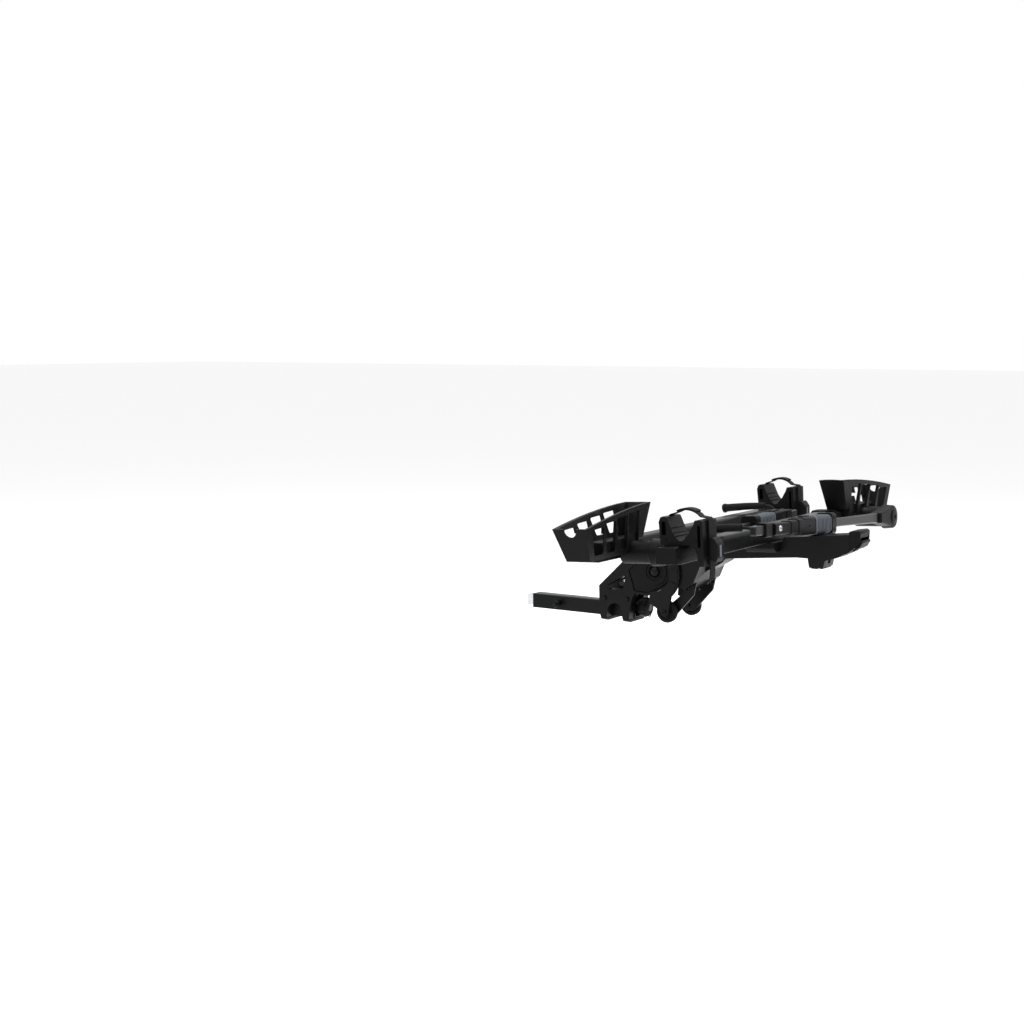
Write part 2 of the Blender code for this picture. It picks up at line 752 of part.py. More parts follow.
def beam_outline(centre):
    half = BEAM_WIDTH / 2
    top_half = BEAM_TOP_WIDTH / 2
    top = BEAM_BASE + BEAM_HEIGHT
    return [
        (centre - half, BEAM_BASE),
        (centre + half, BEAM_BASE),
        (centre + half, BEAM_BASE + BEAM_HEIGHT * 0.30),
        (centre + top_half + 0.003, top - 0.012),
        (centre + top_half, top - 0.004),
        (centre + top_half - 0.006, top),
        (centre - top_half + 0.006, top),
        (centre - top_half, top - 0.004),
        (centre - top_half - 0.003, top - 0.012),
        (centre - half, BEAM_BASE + BEAM_HEIGHT * 0.30),
    ]


def build_beam(kit, platform, centre, side, label):
    """The cross beam of one bike; the side is the sign of Y at its cradle."""
    capped = -side * (BEAM_CAP_END - BEAM_CAP_LENGTH)
    outline = beam_outline(centre)
    beam = kit.add(f"beam_{label}", prism(outline, "Y", capped, side * BEAM_CRADLE_END), "black_coat", platform)
    half = BEAM_TOP_WIDTH / 2 - BEAM_WALL - 0.003
    low = BEAM_BASE + BEAM_WALL
    bore = rounded_rectangle(2 * half, BEAM_HEIGHT - 2 * BEAM_WALL, 0.010, 2, (centre, low + BEAM_HEIGHT / 2 - BEAM_WALL))
    kit.cut(beam, f"beam_bore_{label}", prism(bore, "Y", -0.8, 0.8))
    start = capped - side * GAP
    cap = prism(outline, "Y", start, -side * BEAM_CAP_END, 1.0, 0.96)
    kit.add(f"beam_cap_{label}", cap, "black_plastic", platform)
    low = centre - CLAMP_WIDTH / 2
    high = centre + CLAMP_WIDTH / 2
    wing = SPINE_HALF_WIDTH + 0.045
    gap_half = SPINE_HALF_WIDTH + 0.0012
    outline = [
        (-wing, BEAM_BASE - GAP),
        (-wing, 0.084),
        (-wing + 0.014, 0.070),
        (-gap_half, 0.070),
        (-gap_half, SPINE_TOP + GAP),
        (gap_half, SPINE_TOP + GAP),
        (gap_half, 0.070),
        (wing - 0.014, 0.070),
        (wing, 0.084),
        (wing, BEAM_BASE - GAP),
    ]
    clamp = prism(outline, "X", low, high)
    plate = kit.add(f"beam_clamp_{label}", clamp, "black_plastic", platform)
    if low < 0.192:
        relief = box((low - 0.01, -NECK_HALF_WIDTH - 0.01, 0.0), (0.1925, NECK_HALF_WIDTH + 0.01, SPINE_TOP + GAP))
        kit.cut(plate, f"clamp_relief_{label}", relief)


def cradle_section(share, inset):
    """Eight corners of the cradle's outside at one place, or of its inside when an inset is given."""
    rise = math.sin(share * math.pi / 2)
    top_y = CRADLE_INNER_Y + (CRADLE_OUTER_Y - CRADLE_INNER_Y) * share
    low_y = CRADLE_LOW_INNER_Y + (CRADLE_LOW_OUTER_Y - CRADLE_LOW_INNER_Y) * share
    drop = share ** 1.6
    top_z = CRADLE_INNER_TOP + (CRADLE_OUTER_TOP - CRADLE_INNER_TOP) * drop
    top_half = (CRADLE_INNER_WIDTH + (CRADLE_OUTER_WIDTH - CRADLE_INNER_WIDTH) * rise) / 2 - inset
    low_half = CRADLE_FLOOR_WIDTH / 2 - inset - 0.008 * (1 - share)
    return top_y, low_y, top_z, top_half, low_half


def cradle_shell(side, centre, inset, start, end, steps, floor, lift):
    """The outside or the inside of the trough as a closed body."""
    sections = []
    for step in range(steps + 1):
        share = start + (end - start) * step / steps
        top_y, low_y, top_z, top_half, low_half = cradle_section(share, inset)
        slope = (top_y - low_y) / (top_z - CRADLE_BASE)
        low = low_y + slope * (floor - CRADLE_BASE)
        high = top_y + slope * lift
        shift = CRADLE_OFFSET + 0.008 * share
        sections.append(
            [
                (centre + CRADLE_OFFSET - top_half, side * high, top_z + lift),
                (centre + shift - low_half, side * low, floor),
                (centre + shift + low_half, side * low, floor),
                (centre + CRADLE_OFFSET + top_half, side * high, top_z + lift),
            ]
        )
    return loft(sections)


def cradle_windows(side, centre, both_walls):
    """Openings through both side walls, or the taller slots that only the outer wall has."""
    openings = []
    for index in range(CRADLE_WINDOWS):
        near = WINDOW_START + WINDOW_PITCH * index
        far = near + WINDOW_PITCH - CRADLE_RIB
        share = (far - CRADLE_INNER_Y) / (CRADLE_OUTER_Y - CRADLE_INNER_Y)
        rim = CRADLE_INNER_TOP + (CRADLE_OUTER_TOP - CRADLE_INNER_TOP) * share ** 1.6
        high = rim - CRADLE_RIM
        low = 0.1790 if near < CRADLE_STEP_Y - 0.02 else 0.1540
        lean = 0.008
        outline = [
            (side * near, low),
            (side * (far - 0.010), low),
            (side * (far + lean), high),
            (side * (near + lean - 0.006), high + 0.004),
        ]
        start = centre - 0.06 if both_walls else centre + SLOT_BACK
        if not both_walls:
            outline[0:2] = [(side * (near - 0.003), SLOT_BASE), (side * (far - 0.014), SLOT_BASE)]
        openings.append(prism(rounded_corners(outline, 0.007), "X", start, centre + 0.14))
    return joined(openings)


def build_cradle(kit, platform, centre, side, pivot_y, label):
    shell = cradle_shell(side, centre, 0.0, 0.0, 1.0, 8, CRADLE_BASE, 0.0)
    cradle = kit.add(f"cradle_{label}", shell, "black_plastic", platform)
    top = BEAM_BASE + BEAM_HEIGHT + 0.0044
    ends = sorted((side * 0.40, side * SKIRT_INNER_Y))
    under = box((centre - 0.10, ends[0], 0.05), (centre + 0.16, ends[1], top))
    kit.cut(cradle, f"cradle_under_{label}", under)
    ends = sorted((side * (SKIRT_INNER_Y - 0.01), side * CRADLE_STEP_Y))
    beam_way = box((centre - 0.10, ends[0], 0.05), (centre + BEAM_WIDTH / 2 + GAP, ends[1], top))
    kit.cut(cradle, f"cradle_beam_way_{label}", beam_way)
    middle = (0.0, side * pivot_y, ARM_PIVOT_Z)
    way = cylinder(HOUSING_RADIUS + 0.0008, "X", centre, centre + 0.2, middle, 24)
    kit.cut(cradle, f"cradle_housing_way_{label}", way)
    inside = cradle_shell(side, centre, CRADLE_WALL, 0.018, 0.985, 8, 0.1665, 0.03)
    kit.cut(cradle, f"cradle_inside_{label}", inside)
    deep = cradle_shell(side, centre, CRADLE_WALL, 0.70, 0.985, 3, 0.127, -0.04)
    kit.cut(cradle, f"cradle_deep_{label}", deep)
    kit.cut(cradle, f"cradle_windows_{label}", cradle_windows(side, centre, True))
    kit.cut(cradle, f"cradle_slots_{label}", cradle_windows(side, centre, False))
    dip = arc((centre + CRADLE_OFFSET, 0.2160), 0.022, 200, 340, 6)
    dip = [(centre + CRADLE_OFFSET - 0.030, 0.3000)] + dip + [(centre + CRADLE_OFFSET + 0.030, 0.3000)]
    ends = sorted((side * 0.80, side * 0.90))
    kit.cut(cradle, f"cradle_dip_{label}", prism(dip, "Y", ends[0], ends[1]))
    build_saddle(kit, platform, centre, side, label)


def build_saddle(kit, platform, centre, side, label):
    """The clamp that carries the cradle on its beam, open below."""
    half = BEAM_WIDTH / 2 + 0.0004
    outside = BEAM_WIDTH / 2 + 0.011
    top = BEAM_BASE + BEAM_HEIGHT
    outline = [
        (centre - outside, 0.114),
        (centre - half, 0.114),
        (centre - half, top + GAP),
        (centre + half, top + GAP),
        (centre + half, 0.114),
        (centre + outside, 0.114),
        (centre + outside, top - 0.004),
        (centre + outside - 0.008, top + 0.0040),
        (centre - outside + 0.008, top + 0.0040),
        (centre - outside, top - 0.004),
    ]
    low = min(side * SADDLE_INNER_Y, side * SADDLE_OUTER_Y)
    high = max(side * SADDLE_INNER_Y, side * SADDLE_OUTER_Y)
    kit.add(f"cradle_saddle_{label}", prism(outline, "Y", low, high), "black_plastic", platform)


def holder_outline(centre):
    """Front view of the wheel holder: two posts, the vee between them and the leg behind the beam."""
    left = centre - HOLDER_HALF_WIDTH
    right = centre + HOLDER_HALF_WIDTH
    seat = BEAM_BASE + BEAM_HEIGHT + GAP
    return [
        (left + 0.004, seat),
        (left, HOLDER_TOP - 0.016),
        (left + 0.006, HOLDER_TOP - 0.003),
        (left + 0.014, HOLDER_TOP),
        (left + 0.026, HOLDER_TOP - 0.002),
        (left + 0.034, 0.2200),
        (left + 0.044, 0.1960),
        (left + 0.058, 0.1760),
        (left + 0.067, 0.1690),
        (left + 0.078, 0.1720),
        (left + 0.098, 0.1930),
        (left + 0.112, 0.2160),
        (left + 0.117, HOLDER_TOP - 0.012),
        (right - 0.012, HOLDER_TOP - 0.010),
        (right, HOLDER_TOP - 0.014),
        (right, 0.0960),
        (right - 0.018, 0.0960),
        (right - 0.020, 0.1300),
        (right - 0.028, 0.1480),
        (right - 0.046, seat),
    ]


def strap_path(centre):
    """From the slot of the left post, over the tyre's place, and down behind the right post."""
    left = centre - HOLDER_HALF_WIDTH
    right = centre + HOLDER_HALF_WIDTH
    radius = 0.062
    crown = (centre + 0.004, STRAP_ARCH_TOP - radius)
    points = [(left + 0.018, 0.2050), (left + 0.018, 0.2400), (left + 0.023, 0.2445)]
    points += arc(crown, radius, 120, 42, 8)
    points += [(right + 0.002, 0.2345), (right + 0.0052, 0.2240), (right + 0.0052, 0.0780)]
    points += [(right + 0.002, 0.0560)]
    return points


def band(path, thickness, low, high):
    """A flat strip along a path in X and Z."""
    points = [Vector(point) for point in path]
    upper = []
    lower = []
    for index, point in enumerate(points):
        before = points[max(index - 1, 0)]
        after = points[min(index + 1, len(points) - 1)]
        along = (after - before).normalized()
        normal = Vector((-along.y, along.x))
        upper.append(tuple(point + normal * thickness / 2))
        lower.append(tuple(point - normal * thickness / 2))
    return prism(upper + lower[::-1], "Y", low, high)


def build_holder(kit, platform, beam_centre, side, label):
    """The rear-wheel holder slides along its beam; its origin is on the beam's middle line."""
    axis = kit.empty(f"holder_axis_{label}", (beam_centre, -side * HOLDER_Y, 0.0), platform)
    centre = HOLDER_OFFSET
    half = HOLDER_THICKNESS / 2
    body = kit.add(f"holder_{label}", prism(holder_outline(centre), "Y", -half, half), "black_plastic", axis)
    left = centre - HOLDER_HALF_WIDTH
    right = centre + HOLDER_HALF_WIDTH
    slot_half = STRAP_WIDTH / 2 + 0.002
    slot = box((left + 0.0150, -slot_half, 0.2000), (left + 0.0240, slot_half, 0.2600))
    kit.cut(body, f"holder_slot_{label}", slot)
    face_slots = []
    for face in (-1, 1):
        outer = face * (half + 0.01)
        inner = face * (half - 0.020)
        for low, high, floor, top in (
            (left + 0.009, left + 0.023, 0.186, 0.226),
            (right - 0.017, right - 0.008, 0.150, 0.216),
        ):
            outline = rounded_rectangle(high - low, top - floor, 0.004, 2, ((low + high) / 2, (top + floor) / 2))
            face_slots.append(prism(outline, "Y", min(inner, outer), max(inner, outer)))
    kit.cut(body, f"holder_pockets_{label}", joined(face_slots))
    reach = STRAP_WIDTH / 2
    strip = band(strap_path(centre), STRAP_THICKNESS, -reach, reach)
    strap = kit.add(f"strap_{label}", strip, "rubber", axis)
    radius = 0.062
    crown = (centre + 0.004, STRAP_ARCH_TOP - radius)
    pad_path = arc(crown, radius + STRAP_THICKNESS / 2 + 0.0018, 116, 60, 6)
    pad = band(pad_path, 0.0045, -reach - 0.003, reach + 0.003)
    kit.cut(strap, f"strap_pad_{label}", pad, "UNION")
    build_buckle(kit, axis, right, label)


def build_buckle(kit, axis, right, label):
    """The ratchet lever of the strap, hinged at its upper end."""
    start = right + 0.0052 + STRAP_THICKNESS / 2 + 0.0012
    hinge = kit.empty(f"buckle_axis_{label}", (start + 0.009, 0.0, 0.1690), axis)
    outline = arc((0.0, 0.0), 0.0088, 180, 30, 8)
    outline += [(0.0170, -0.010), (0.0160, -0.052), (0.0100, -BUCKLE_LENGTH + 0.009), (-0.0040, -0.058), (-0.0088, -0.050)]
    half = BUCKLE_WIDTH / 2
    kit.add(f"buckle_{label}", prism(outline, "Y", -half, half), "black_plastic", hinge)


# Arms


def arm_outline(length):
    """The flat arm in its own plane: first value along the arm, second one up."""
    start = KNUCKLE_LENGTH + GAP
    root = ARM_ROOT_HEIGHT / 2
    tip = ARM_TIP_HEIGHT / 2
    return [(start, -root), (0.42, -tip), (length, -tip), (length, tip), (0.42, tip), (start, root)]


def knuckle_outline():
    """The round end at the pivot, drawn down to the arm's height."""
    reach = KNUCKLE_LENGTH
    root = ARM_ROOT_HEIGHT / 2 + 0.002
    points = [(reach, root), (0.085, root + 0.005), (0.052, 0.0320)]
    points += arc((0.0, 0.0), KNUCKLE_RADIUS, 50, 310, 20)
    points += [(0.052, -0.0320), (0.085, -root - 0.005), (reach, -root)]
    return points


def along_arm(outline, direction):
    """Turns an outline along the arm into platform Y and Z; the direction is the sign of Y at its tip."""
    points = [(direction * point[0], point[1]) for point in outline]
    return points if direction > 0 else points[::-1]


def hook_path(rise):
    """From the clamp towards the car: a short rise, then a slight arch over the tyre's place."""
    points = []
    steps = 14
    for index in range(steps + 1):
        share = index / steps
        climb = min(share / 0.22, 1.0)
        eased = climb * climb * (3 - 2 * climb)
        arch = 0.004 * math.sin(math.pi * share) - 0.007 * max(share - 0.3, 0.0)
        points.append((-0.0105 - (HOOK_REACH - 0.0105) * share, 0.0, rise * eased + arch))
    return points


def build_arm(kit, platform, beam_centre, side, label, pivot_y, rise, carriage_reach, hook_rise):
    """One ratchet arm; the side is the sign of Y at its pivot, and its tip points the other way."""
    plane = beam_centre + ARM_OFFSET
    direction = -side
    pivot_place = (plane, side * pivot_y, ARM_PIVOT_Z)
    pivot = kit.empty(f"arm_axis_{label}", pivot_place, platform, (direction * rise, 0.0, 0.0))
    half_knuckle = KNUCKLE_THICKNESS / 2
    housing_start = beam_centre + BEAM_WIDTH / 2 + GAP - plane
    housing_end = -half_knuckle - GAP
    housing = cylinder(HOUSING_RADIUS, "X", housing_start, housing_end, (0, 0, 0), 24, 0.002)
    kit.add(f"arm_housing_{label}", housing, "black_plastic", platform, pivot_place)
    knuckle = prism(along_arm(knuckle_outline(), direction), "X", -half_knuckle, half_knuckle, 1.0, 0.93)
    kit.add(f"knuckle_{label}", knuckle, "black_plastic", pivot)
    half = ARM_THICKNESS / 2
    arm = prism(along_arm(arm_outline(pivot_y + ARM_TIP_REACH), direction), "X", -half, half)
    kit.add(f"arm_{label}", arm, "dark_grey_tube", pivot)
    carriage_at = pivot_y + carriage_reach
    build_carriage(kit, pivot, direction, label, carriage_at)
    carriage_end = carriage_at + CARRIAGE_LENGTH
    if label == "rear":
        build_lock_housing(kit, label, direction)
        carriage_end += LOCK_HOUSING_LENGTH
    build_hook(kit, pivot, direction, label, hook_rise, pivot_y + HOOK_REACH_ALONG, carriage_end)


def build_carriage(kit, pivot, direction, label, start):
    """The ratchet carriage round the arm, with its grip; both have a clear way for the arm."""
    place = (0.0, direction * start, 0.0)
    axis = kit.empty(f"carriage_axis_{label}", place, pivot)
    opening_width = ARM_THICKNESS + 2 * SLIDE_CLEARANCE
    opening_height = ARM_TIP_HEIGHT + 2 * SLIDE_CLEARANCE
    collar = rounded_rectangle(COLLAR_WIDTH, COLLAR_HEIGHT, 0.012, 3)
    made = kit.add(
        f"carriage_{label}",
        across_arm(collar, 0.0, COLLAR_LENGTH, direction),
        "black_plastic",
        axis,
    )
    neck = rounded_rectangle(CARRIAGE_WIDTH - 2 * GRIP_WALL - 0.001, CARRIAGE_HEIGHT - 2 * GRIP_WALL - 0.001, 0.006, 2)
    core = across_arm(neck, COLLAR_LENGTH - 0.002, GRIP_START + GRIP_LENGTH + 0.004, direction)
    kit.cut(made, f"carriage_core_{label}", core, "UNION")
    block = rounded_rectangle(CARRIAGE_WIDTH, CARRIAGE_HEIGHT, 0.009, 3)
    head = across_arm(block, GRIP_START + GRIP_LENGTH + 0.001, CARRIAGE_LENGTH, direction)
    kit.cut(made, f"carriage_head_{label}", head, "UNION")
    opening = [
        (-opening_width / 2, -opening_height / 2),
        (opening_width / 2, -opening_height / 2),
        (opening_width / 2, opening_height / 2),
        (-opening_width / 2, opening_height / 2),
    ]
    kit.cut(made, f"carriage_way_{label}", across_arm(opening, -0.02, CARRIAGE_LENGTH + 0.02, direction))
    outer = rounded_rectangle(CARRIAGE_WIDTH + 0.003, CARRIAGE_HEIGHT + 0.003, 0.011, 3)
    begin = GRIP_START - 0.0045
    grip = kit.add(
        f"grip_{label}",
        across_arm(outer, begin, GRIP_START + GRIP_LENGTH, direction),
        "grey_grip",
        axis,
    )
    hollow = rounded_rectangle(CARRIAGE_WIDTH - 2 * GRIP_WALL, CARRIAGE_HEIGHT - 2 * GRIP_WALL, 0.006, 2)
    kit.cut(grip, f"grip_hollow_{label}", across_arm(hollow, 0.0, GRIP_START + GRIP_LENGTH + 0.01, direction))


def across_arm(outline, start, end, direction):
    """A prism along the arm, whose outline is in X and Z."""
    return prism(outline, "Y", direction * start, direction * end)


def build_lock_housing(kit, label, direction):
    """The stepped lock housing on the outer side of the rear arm's carriage."""
    axis = bpy.data.objects[f"carriage_axis_{label}"]
    steps = (
        (CARRIAGE_LENGTH + 0.0006, CARRIAGE_LENGTH + 0.040, 0.050, 0.044),
        (CARRIAGE_LENGTH + 0.040, CARRIAGE_LENGTH + 0.094, 0.044, 0.040),
        (CARRIAGE_LENGTH + 0.094, CARRIAGE_LENGTH + LOCK_HOUSING_LENGTH, 0.038, 0.036),
    )
    builders = []
    for low, high, height, width in steps:
        outline = rounded_rectangle(width, height, 0.009, 3, (0.004, 0.0))
        builders.append((outline, low, high))
    outline, low, high = builders[0]
    body = kit.add(f"lock_housing_{label}", across_arm(outline, low, high, direction), "black_plastic", axis)
    for number, (outline, low, high) in enumerate(builders[1:], start=1):
        piece = across_arm(outline, low - 0.002, high, direction)
        kit.cut(body, f"lock_step_{number}_{label}", piece, "UNION")
    opening_width = ARM_THICKNESS + 2 * SLIDE_CLEARANCE
    opening_height = ARM_TIP_HEIGHT + 2 * SLIDE_CLEARANCE
    opening = [
        (-opening_width / 2, -opening_height / 2),
        (opening_width / 2, -opening_height / 2),
        (opening_width / 2, opening_height / 2),
        (-opening_width / 2, opening_height / 2),
    ]
    kit.cut(body, f"lock_way_{label}", across_arm(opening, 0.2, 0.5, direction))


def build_hook(kit, pivot, direction, label, rise, hook_at, carriage_end):
    """The hook: a clamp round the arm, a bent rod, and a rubber sleeve with a wider end."""
    axis = kit.empty(f"hook_axis_{label}", (0.0, direction * hook_at, 0.0), pivot)
    half = HOOK_CLAMP_LENGTH / 2
    block = rounded_rectangle(ARM_THICKNESS + 0.014, ARM_TIP_HEIGHT + 0.014, 0.005, 2)
    clamp = kit.add(f"hook_{label}", prism(block, "Y", -half, half), "black_plastic", axis)
    path = hook_path(rise)
    share = int(round(len(path) * (1 - SLEEVE_LENGTH / HOOK_REACH)))
    rod_path = [(-ARM_THICKNESS / 2 - 0.004, 0.0, 0.0)] + path[1 : share + 3]
    rod = sweep(rod_path, [HOOK_ROD_RADIUS] * len(rod_path), 12)
    kit.cut(clamp, f"hook_rod_{label}", rod, "UNION")
    opening_width = ARM_THICKNESS + 2 * SLIDE_CLEARANCE
    opening_height = ARM_TIP_HEIGHT + 2 * SLIDE_CLEARANCE
    outline = rounded_rectangle(opening_width, opening_height, 0.0005, 1)
    kit.cut(clamp, f"hook_way_{label}", prism(outline, "Y", -half - 0.01, half + 0.01))
    under = -ARM_TIP_HEIGHT / 2 - SLIDE_CLEARANCE
    strip = [
        (-RATCHET_WIDTH / 2, under - 0.0045),
        (RATCHET_WIDTH / 2, under - 0.0045),
        (RATCHET_WIDTH / 2, under - 0.0010),
        (-RATCHET_WIDTH / 2, under - 0.0010),
    ]
    near = direction * (carriage_end + GAP - hook_at)
    kit.cut(clamp, f"ratchet_strip_{label}", prism(strip, "Y", near, -direction * (half - 0.004)), "UNION")
    sleeve_path = path[share:]
    count = len(sleeve_path)
    radii = []
    for index in range(count):
        part = index / (count - 1)
        radii.append(SLEEVE_RADIUS + (SLEEVE_CAP_RADIUS - SLEEVE_RADIUS) * part)
    sleeve = kit.add(f"hook_sleeve_{label}", sweep(sleeve_path, radii, 16), "rubber", axis)
    bore_path = [path[share - 1]] + path[share : share + 3]
    last = Vector(path[share + 2])
    bore_path[-1] = tuple(last + (last - Vector(path[share + 1])).normalized() * 0.001)
    bore = sweep(bore_path, [HOOK_ROD_RADIUS + GAP] * len(bore_path), 12)
    kit.cut(sleeve, f"sleeve_bore_{label}", bore)


def main():
    clear_scene()
    kit = Kit()
    build_tongue(kit)
    build_hitch_pin(kit)
    build_tension_knob(kit)
    for side, label in ((-1, "left"), (1, "right")):
        build_bracket(kit, side, label)
        build_hub_cover(kit, side, label)
    build_pivot_bolt(kit)
    build_feet(kit)
    build_bracket_bolts(kit)
    platform = kit.empty("platform_axis", (HINGE_X, 0.0, HINGE_Z), None, (0.0, -PLATFORM_RISE, 0.0))
    build_spine(kit, platform)
    build_release(kit, platform)
    for side, label in ((-1, "left"), (1, "right")):
        build_rotor(kit, platform, side, label)
        build_wheel(kit, platform, side, label)
        build_axle(kit, platform, side, label)
    for label, centre, side, pivot_y, rise, carriage_reach, hook_rise in (
        ("front", FIRST_BEAM_X, -1, FRONT_PIVOT_Y, FRONT_ARM_RISE, FRONT_CARRIAGE_REACH, FRONT_HOOK_RISE),
        ("rear", FIRST_BEAM_X + BIKE_SPACING, 1, REAR_PIVOT_Y, REAR_ARM_RISE, REAR_CARRIAGE_REACH, REAR_HOOK_RISE),
    ):
        build_beam(kit, platform, centre, side, label)
        build_cradle(kit, platform, centre, side, pivot_y, label)
        build_holder(kit, platform, centre, side, label)
        build_arm(kit, platform, centre, side, label, pivot_y, rise, carriage_reach, hook_rise)


main()
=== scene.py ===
import json
import math

import bmesh
import bpy
from mathutils import Matrix, Vector


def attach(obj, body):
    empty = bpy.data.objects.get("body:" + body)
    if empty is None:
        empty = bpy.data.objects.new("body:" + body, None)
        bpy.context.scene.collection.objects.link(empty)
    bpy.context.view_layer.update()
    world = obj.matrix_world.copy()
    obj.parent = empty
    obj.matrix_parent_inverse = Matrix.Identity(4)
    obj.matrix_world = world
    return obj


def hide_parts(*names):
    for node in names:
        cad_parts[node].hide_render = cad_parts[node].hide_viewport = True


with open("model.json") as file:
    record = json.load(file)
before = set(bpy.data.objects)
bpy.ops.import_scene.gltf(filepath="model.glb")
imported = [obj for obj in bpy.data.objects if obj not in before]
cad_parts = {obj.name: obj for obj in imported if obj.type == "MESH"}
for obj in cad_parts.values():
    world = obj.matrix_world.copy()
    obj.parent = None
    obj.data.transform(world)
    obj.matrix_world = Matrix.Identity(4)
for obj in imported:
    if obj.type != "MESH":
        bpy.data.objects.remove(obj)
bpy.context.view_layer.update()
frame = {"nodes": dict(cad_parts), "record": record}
record = frame["record"]
bodies = record["behaviour"]["bodies"]
joints = {joint["name"]: joint for joint in record["behaviour"]["joints"]}
bodyOf = {node: body for body, nodes in bodies.items() for node in nodes}
slotOf = {part["node"]: part["material_slot"] for part in record["subparts"]}
print("frame loaded,", len(frame["nodes"]), "nodes")


class Value:  # a socket that can be used in a Python expression
    def __init__(self, shade, socket):
        self.shade = shade
        self.socket = socket

    def maths(self, operation, first, second=None):
        values = {0: first} if second is None else {0: first, 1: second}
        return self.shade.node("ShaderNodeMath", {"operation": operation}, values)

    def __add__(self, other):
        return self.maths("ADD", self, other)

    def __radd__(self, other):
        return self.maths("ADD", other, self)

    def __sub__(self, other):
        return self.maths("SUBTRACT", self, other)

    def __rsub__(self, other):
        return self.maths("SUBTRACT", other, self)

    def __mul__(self, other):
        return self.maths("MULTIPLY", self, other)

    def __rmul__(self, other):
        return self.maths("MULTIPLY", other, self)

    def __truediv__(self, other):
        return self.maths("DIVIDE", self, other)

    def __gt__(self, other):
        return self.maths("GREATER_THAN", self, other)

    def power(self, exponent):
        return self.maths("POWER", self, exponent)

    def wave(self):
        return self.maths("SINE", self)


class Shade:  # one material and the way its nodes are added
    def __init__(self, name):
        self.material = bpy.data.materials.new(name)
        self.material.use_nodes = True
        self.tree = self.material.node_tree
        self.surface = self.tree.nodes["Principled BSDF"]

    def node(self, kind, settings, values, output=0):
        made = self.tree.nodes.new(kind)
        for key, setting in settings.items():
            if key == "stops":
                for index, (place, colour) in enumerate(setting):
                    stops = made.color_ramp.elements
                    stop = stops[index] if index < len(stops) else stops.new(place)
                    stop.position = place
                    stop.color = (*colour, 1.0)
            else:
                setattr(made, key, setting)
        for key, value in values.items():
            if isinstance(value, Value):
                self.tree.links.new(value.socket, made.inputs[key])
            else:
                made.inputs[key].default_value = value
        return Value(self, made.outputs[output])

    def objectPlace(self):
        return self.node("ShaderNodeTexCoord", {}, {}, "Object")

    def noise(self, scale, detail=3.0, rough=0.55, place=None):
        place = place or self.objectPlace()
        values = {"Vector": place, "Scale": scale, "Detail": detail, "Roughness": rough}
        return self.node("ShaderNodeTexNoise", {}, values, 0)

    def cells(self, scale):
        values = {"Vector": self.objectPlace(), "Scale": scale}
        return self.node("ShaderNodeTexVoronoi", {}, values, "Distance")

    def stretched(self, size, turn=(0.0, 0.0, 0.0)):
        values = {"Vector": self.objectPlace(), "Scale": size, "Rotation": turn}
        return self.node("ShaderNodeMapping", {"vector_type": "POINT"}, values)

    def mix(self, share, first, second):
        colours = {"Factor": share, 6: first, 7: second}
        return self.node("ShaderNodeMix", {"data_type": "RGBA"}, colours, 2)

    def clamp(self, value, low, high):
        values = {"Value": value, "From Min": low, "From Max": high}
        return self.node("ShaderNodeMapRange", {"clamp": True}, values)

    def feed(self, **values):
        for key, value in values.items():
            names = {"colour": "Base Color", "coat": "Coat Weight", "shine": "Specular IOR Level"}
            name = names.get(key, key.capitalize())
            if isinstance(value, Value):
                self.tree.links.new(value.socket, self.surface.inputs[name])
            else:
                self.surface.inputs[name].default_value = value

    def bump(self, height, distance, strength=1.0):
        values = {"Height": height, "Distance": distance, "Strength": strength}
        self.feed(normal=self.node("ShaderNodeBump", {}, values))


coatValues = {
    "dark": (0.0018, 0.0019, 0.0021, 1),
    "light": (0.0050, 0.0052, 0.0057, 1),
    "peel": 620.0,
    "shine": 0.105,
}


def powderCoat():  # satin black powder coat with a faint orange peel and a little dust
    shade = Shade("powderCoat")
    cloud = shade.noise(9.0, 4.0)
    peel = shade.noise(coatValues["peel"], 2.0)
    scuff = shade.clamp(shade.noise(60.0, 8.0, 0.7), 0.56, 0.74)
    shade.feed(colour=shade.mix(cloud, coatValues["dark"], coatValues["light"]))
    shade.feed(roughness=0.27 + cloud * 0.10 + scuff * 0.12, shine=coatValues["shine"])
    shade.bump(peel + scuff * 0.3, 0.00022, 0.5)
    return shade.material


plasticValues = {
    "dark": (0.0019, 0.0019, 0.0021, 1),
    "light": (0.0052, 0.0052, 0.0056, 1),
    "grain": 1500.0,
    "shine": 0.085,
}


def mouldedPlastic():  # black glass-filled nylon with a spark-eroded grain
    shade = Shade("mouldedPlastic")
    cloud = shade.noise(14.0, 5.0)
    grain = shade.cells(plasticValues["grain"])
    rub = shade.clamp(shade.noise(34.0, 9.0, 0.72), 0.55, 0.72)
    worn = cloud * 0.7 + rub * 0.3
    shade.feed(colour=shade.mix(worn, plasticValues["dark"], plasticValues["light"]))
    shade.feed(roughness=0.38 + cloud * 0.12 - rub * 0.08, shine=plasticValues["shine"])
    shade.bump(grain, 0.00018, 0.45)
    return shade.material


rubberValues = {
    "dark": (0.0030, 0.0030, 0.0031, 1),
    "light": (0.0075, 0.0074, 0.0071, 1),
    "shine": 0.09,
}


def softRubber():  # matt rubber that holds a little dust
    shade = Shade("softRubber")
    dust = shade.noise(22.0, 8.0, 0.68)
    fine = shade.noise(1100.0, 2.0)
    shade.feed(colour=shade.mix(dust, rubberValues["dark"], rubberValues["light"]))
    shade.feed(roughness=0.60 + dust * 0.16, shine=rubberValues["shine"])
    shade.bump(fine, 0.00025, 0.5)
    return shade.material


tubeValues = {
    "dark": (0.0080, 0.0083, 0.0092, 1),
    "light": (0.0160, 0.0166, 0.0182, 1),
    "shine": 0.22,
}


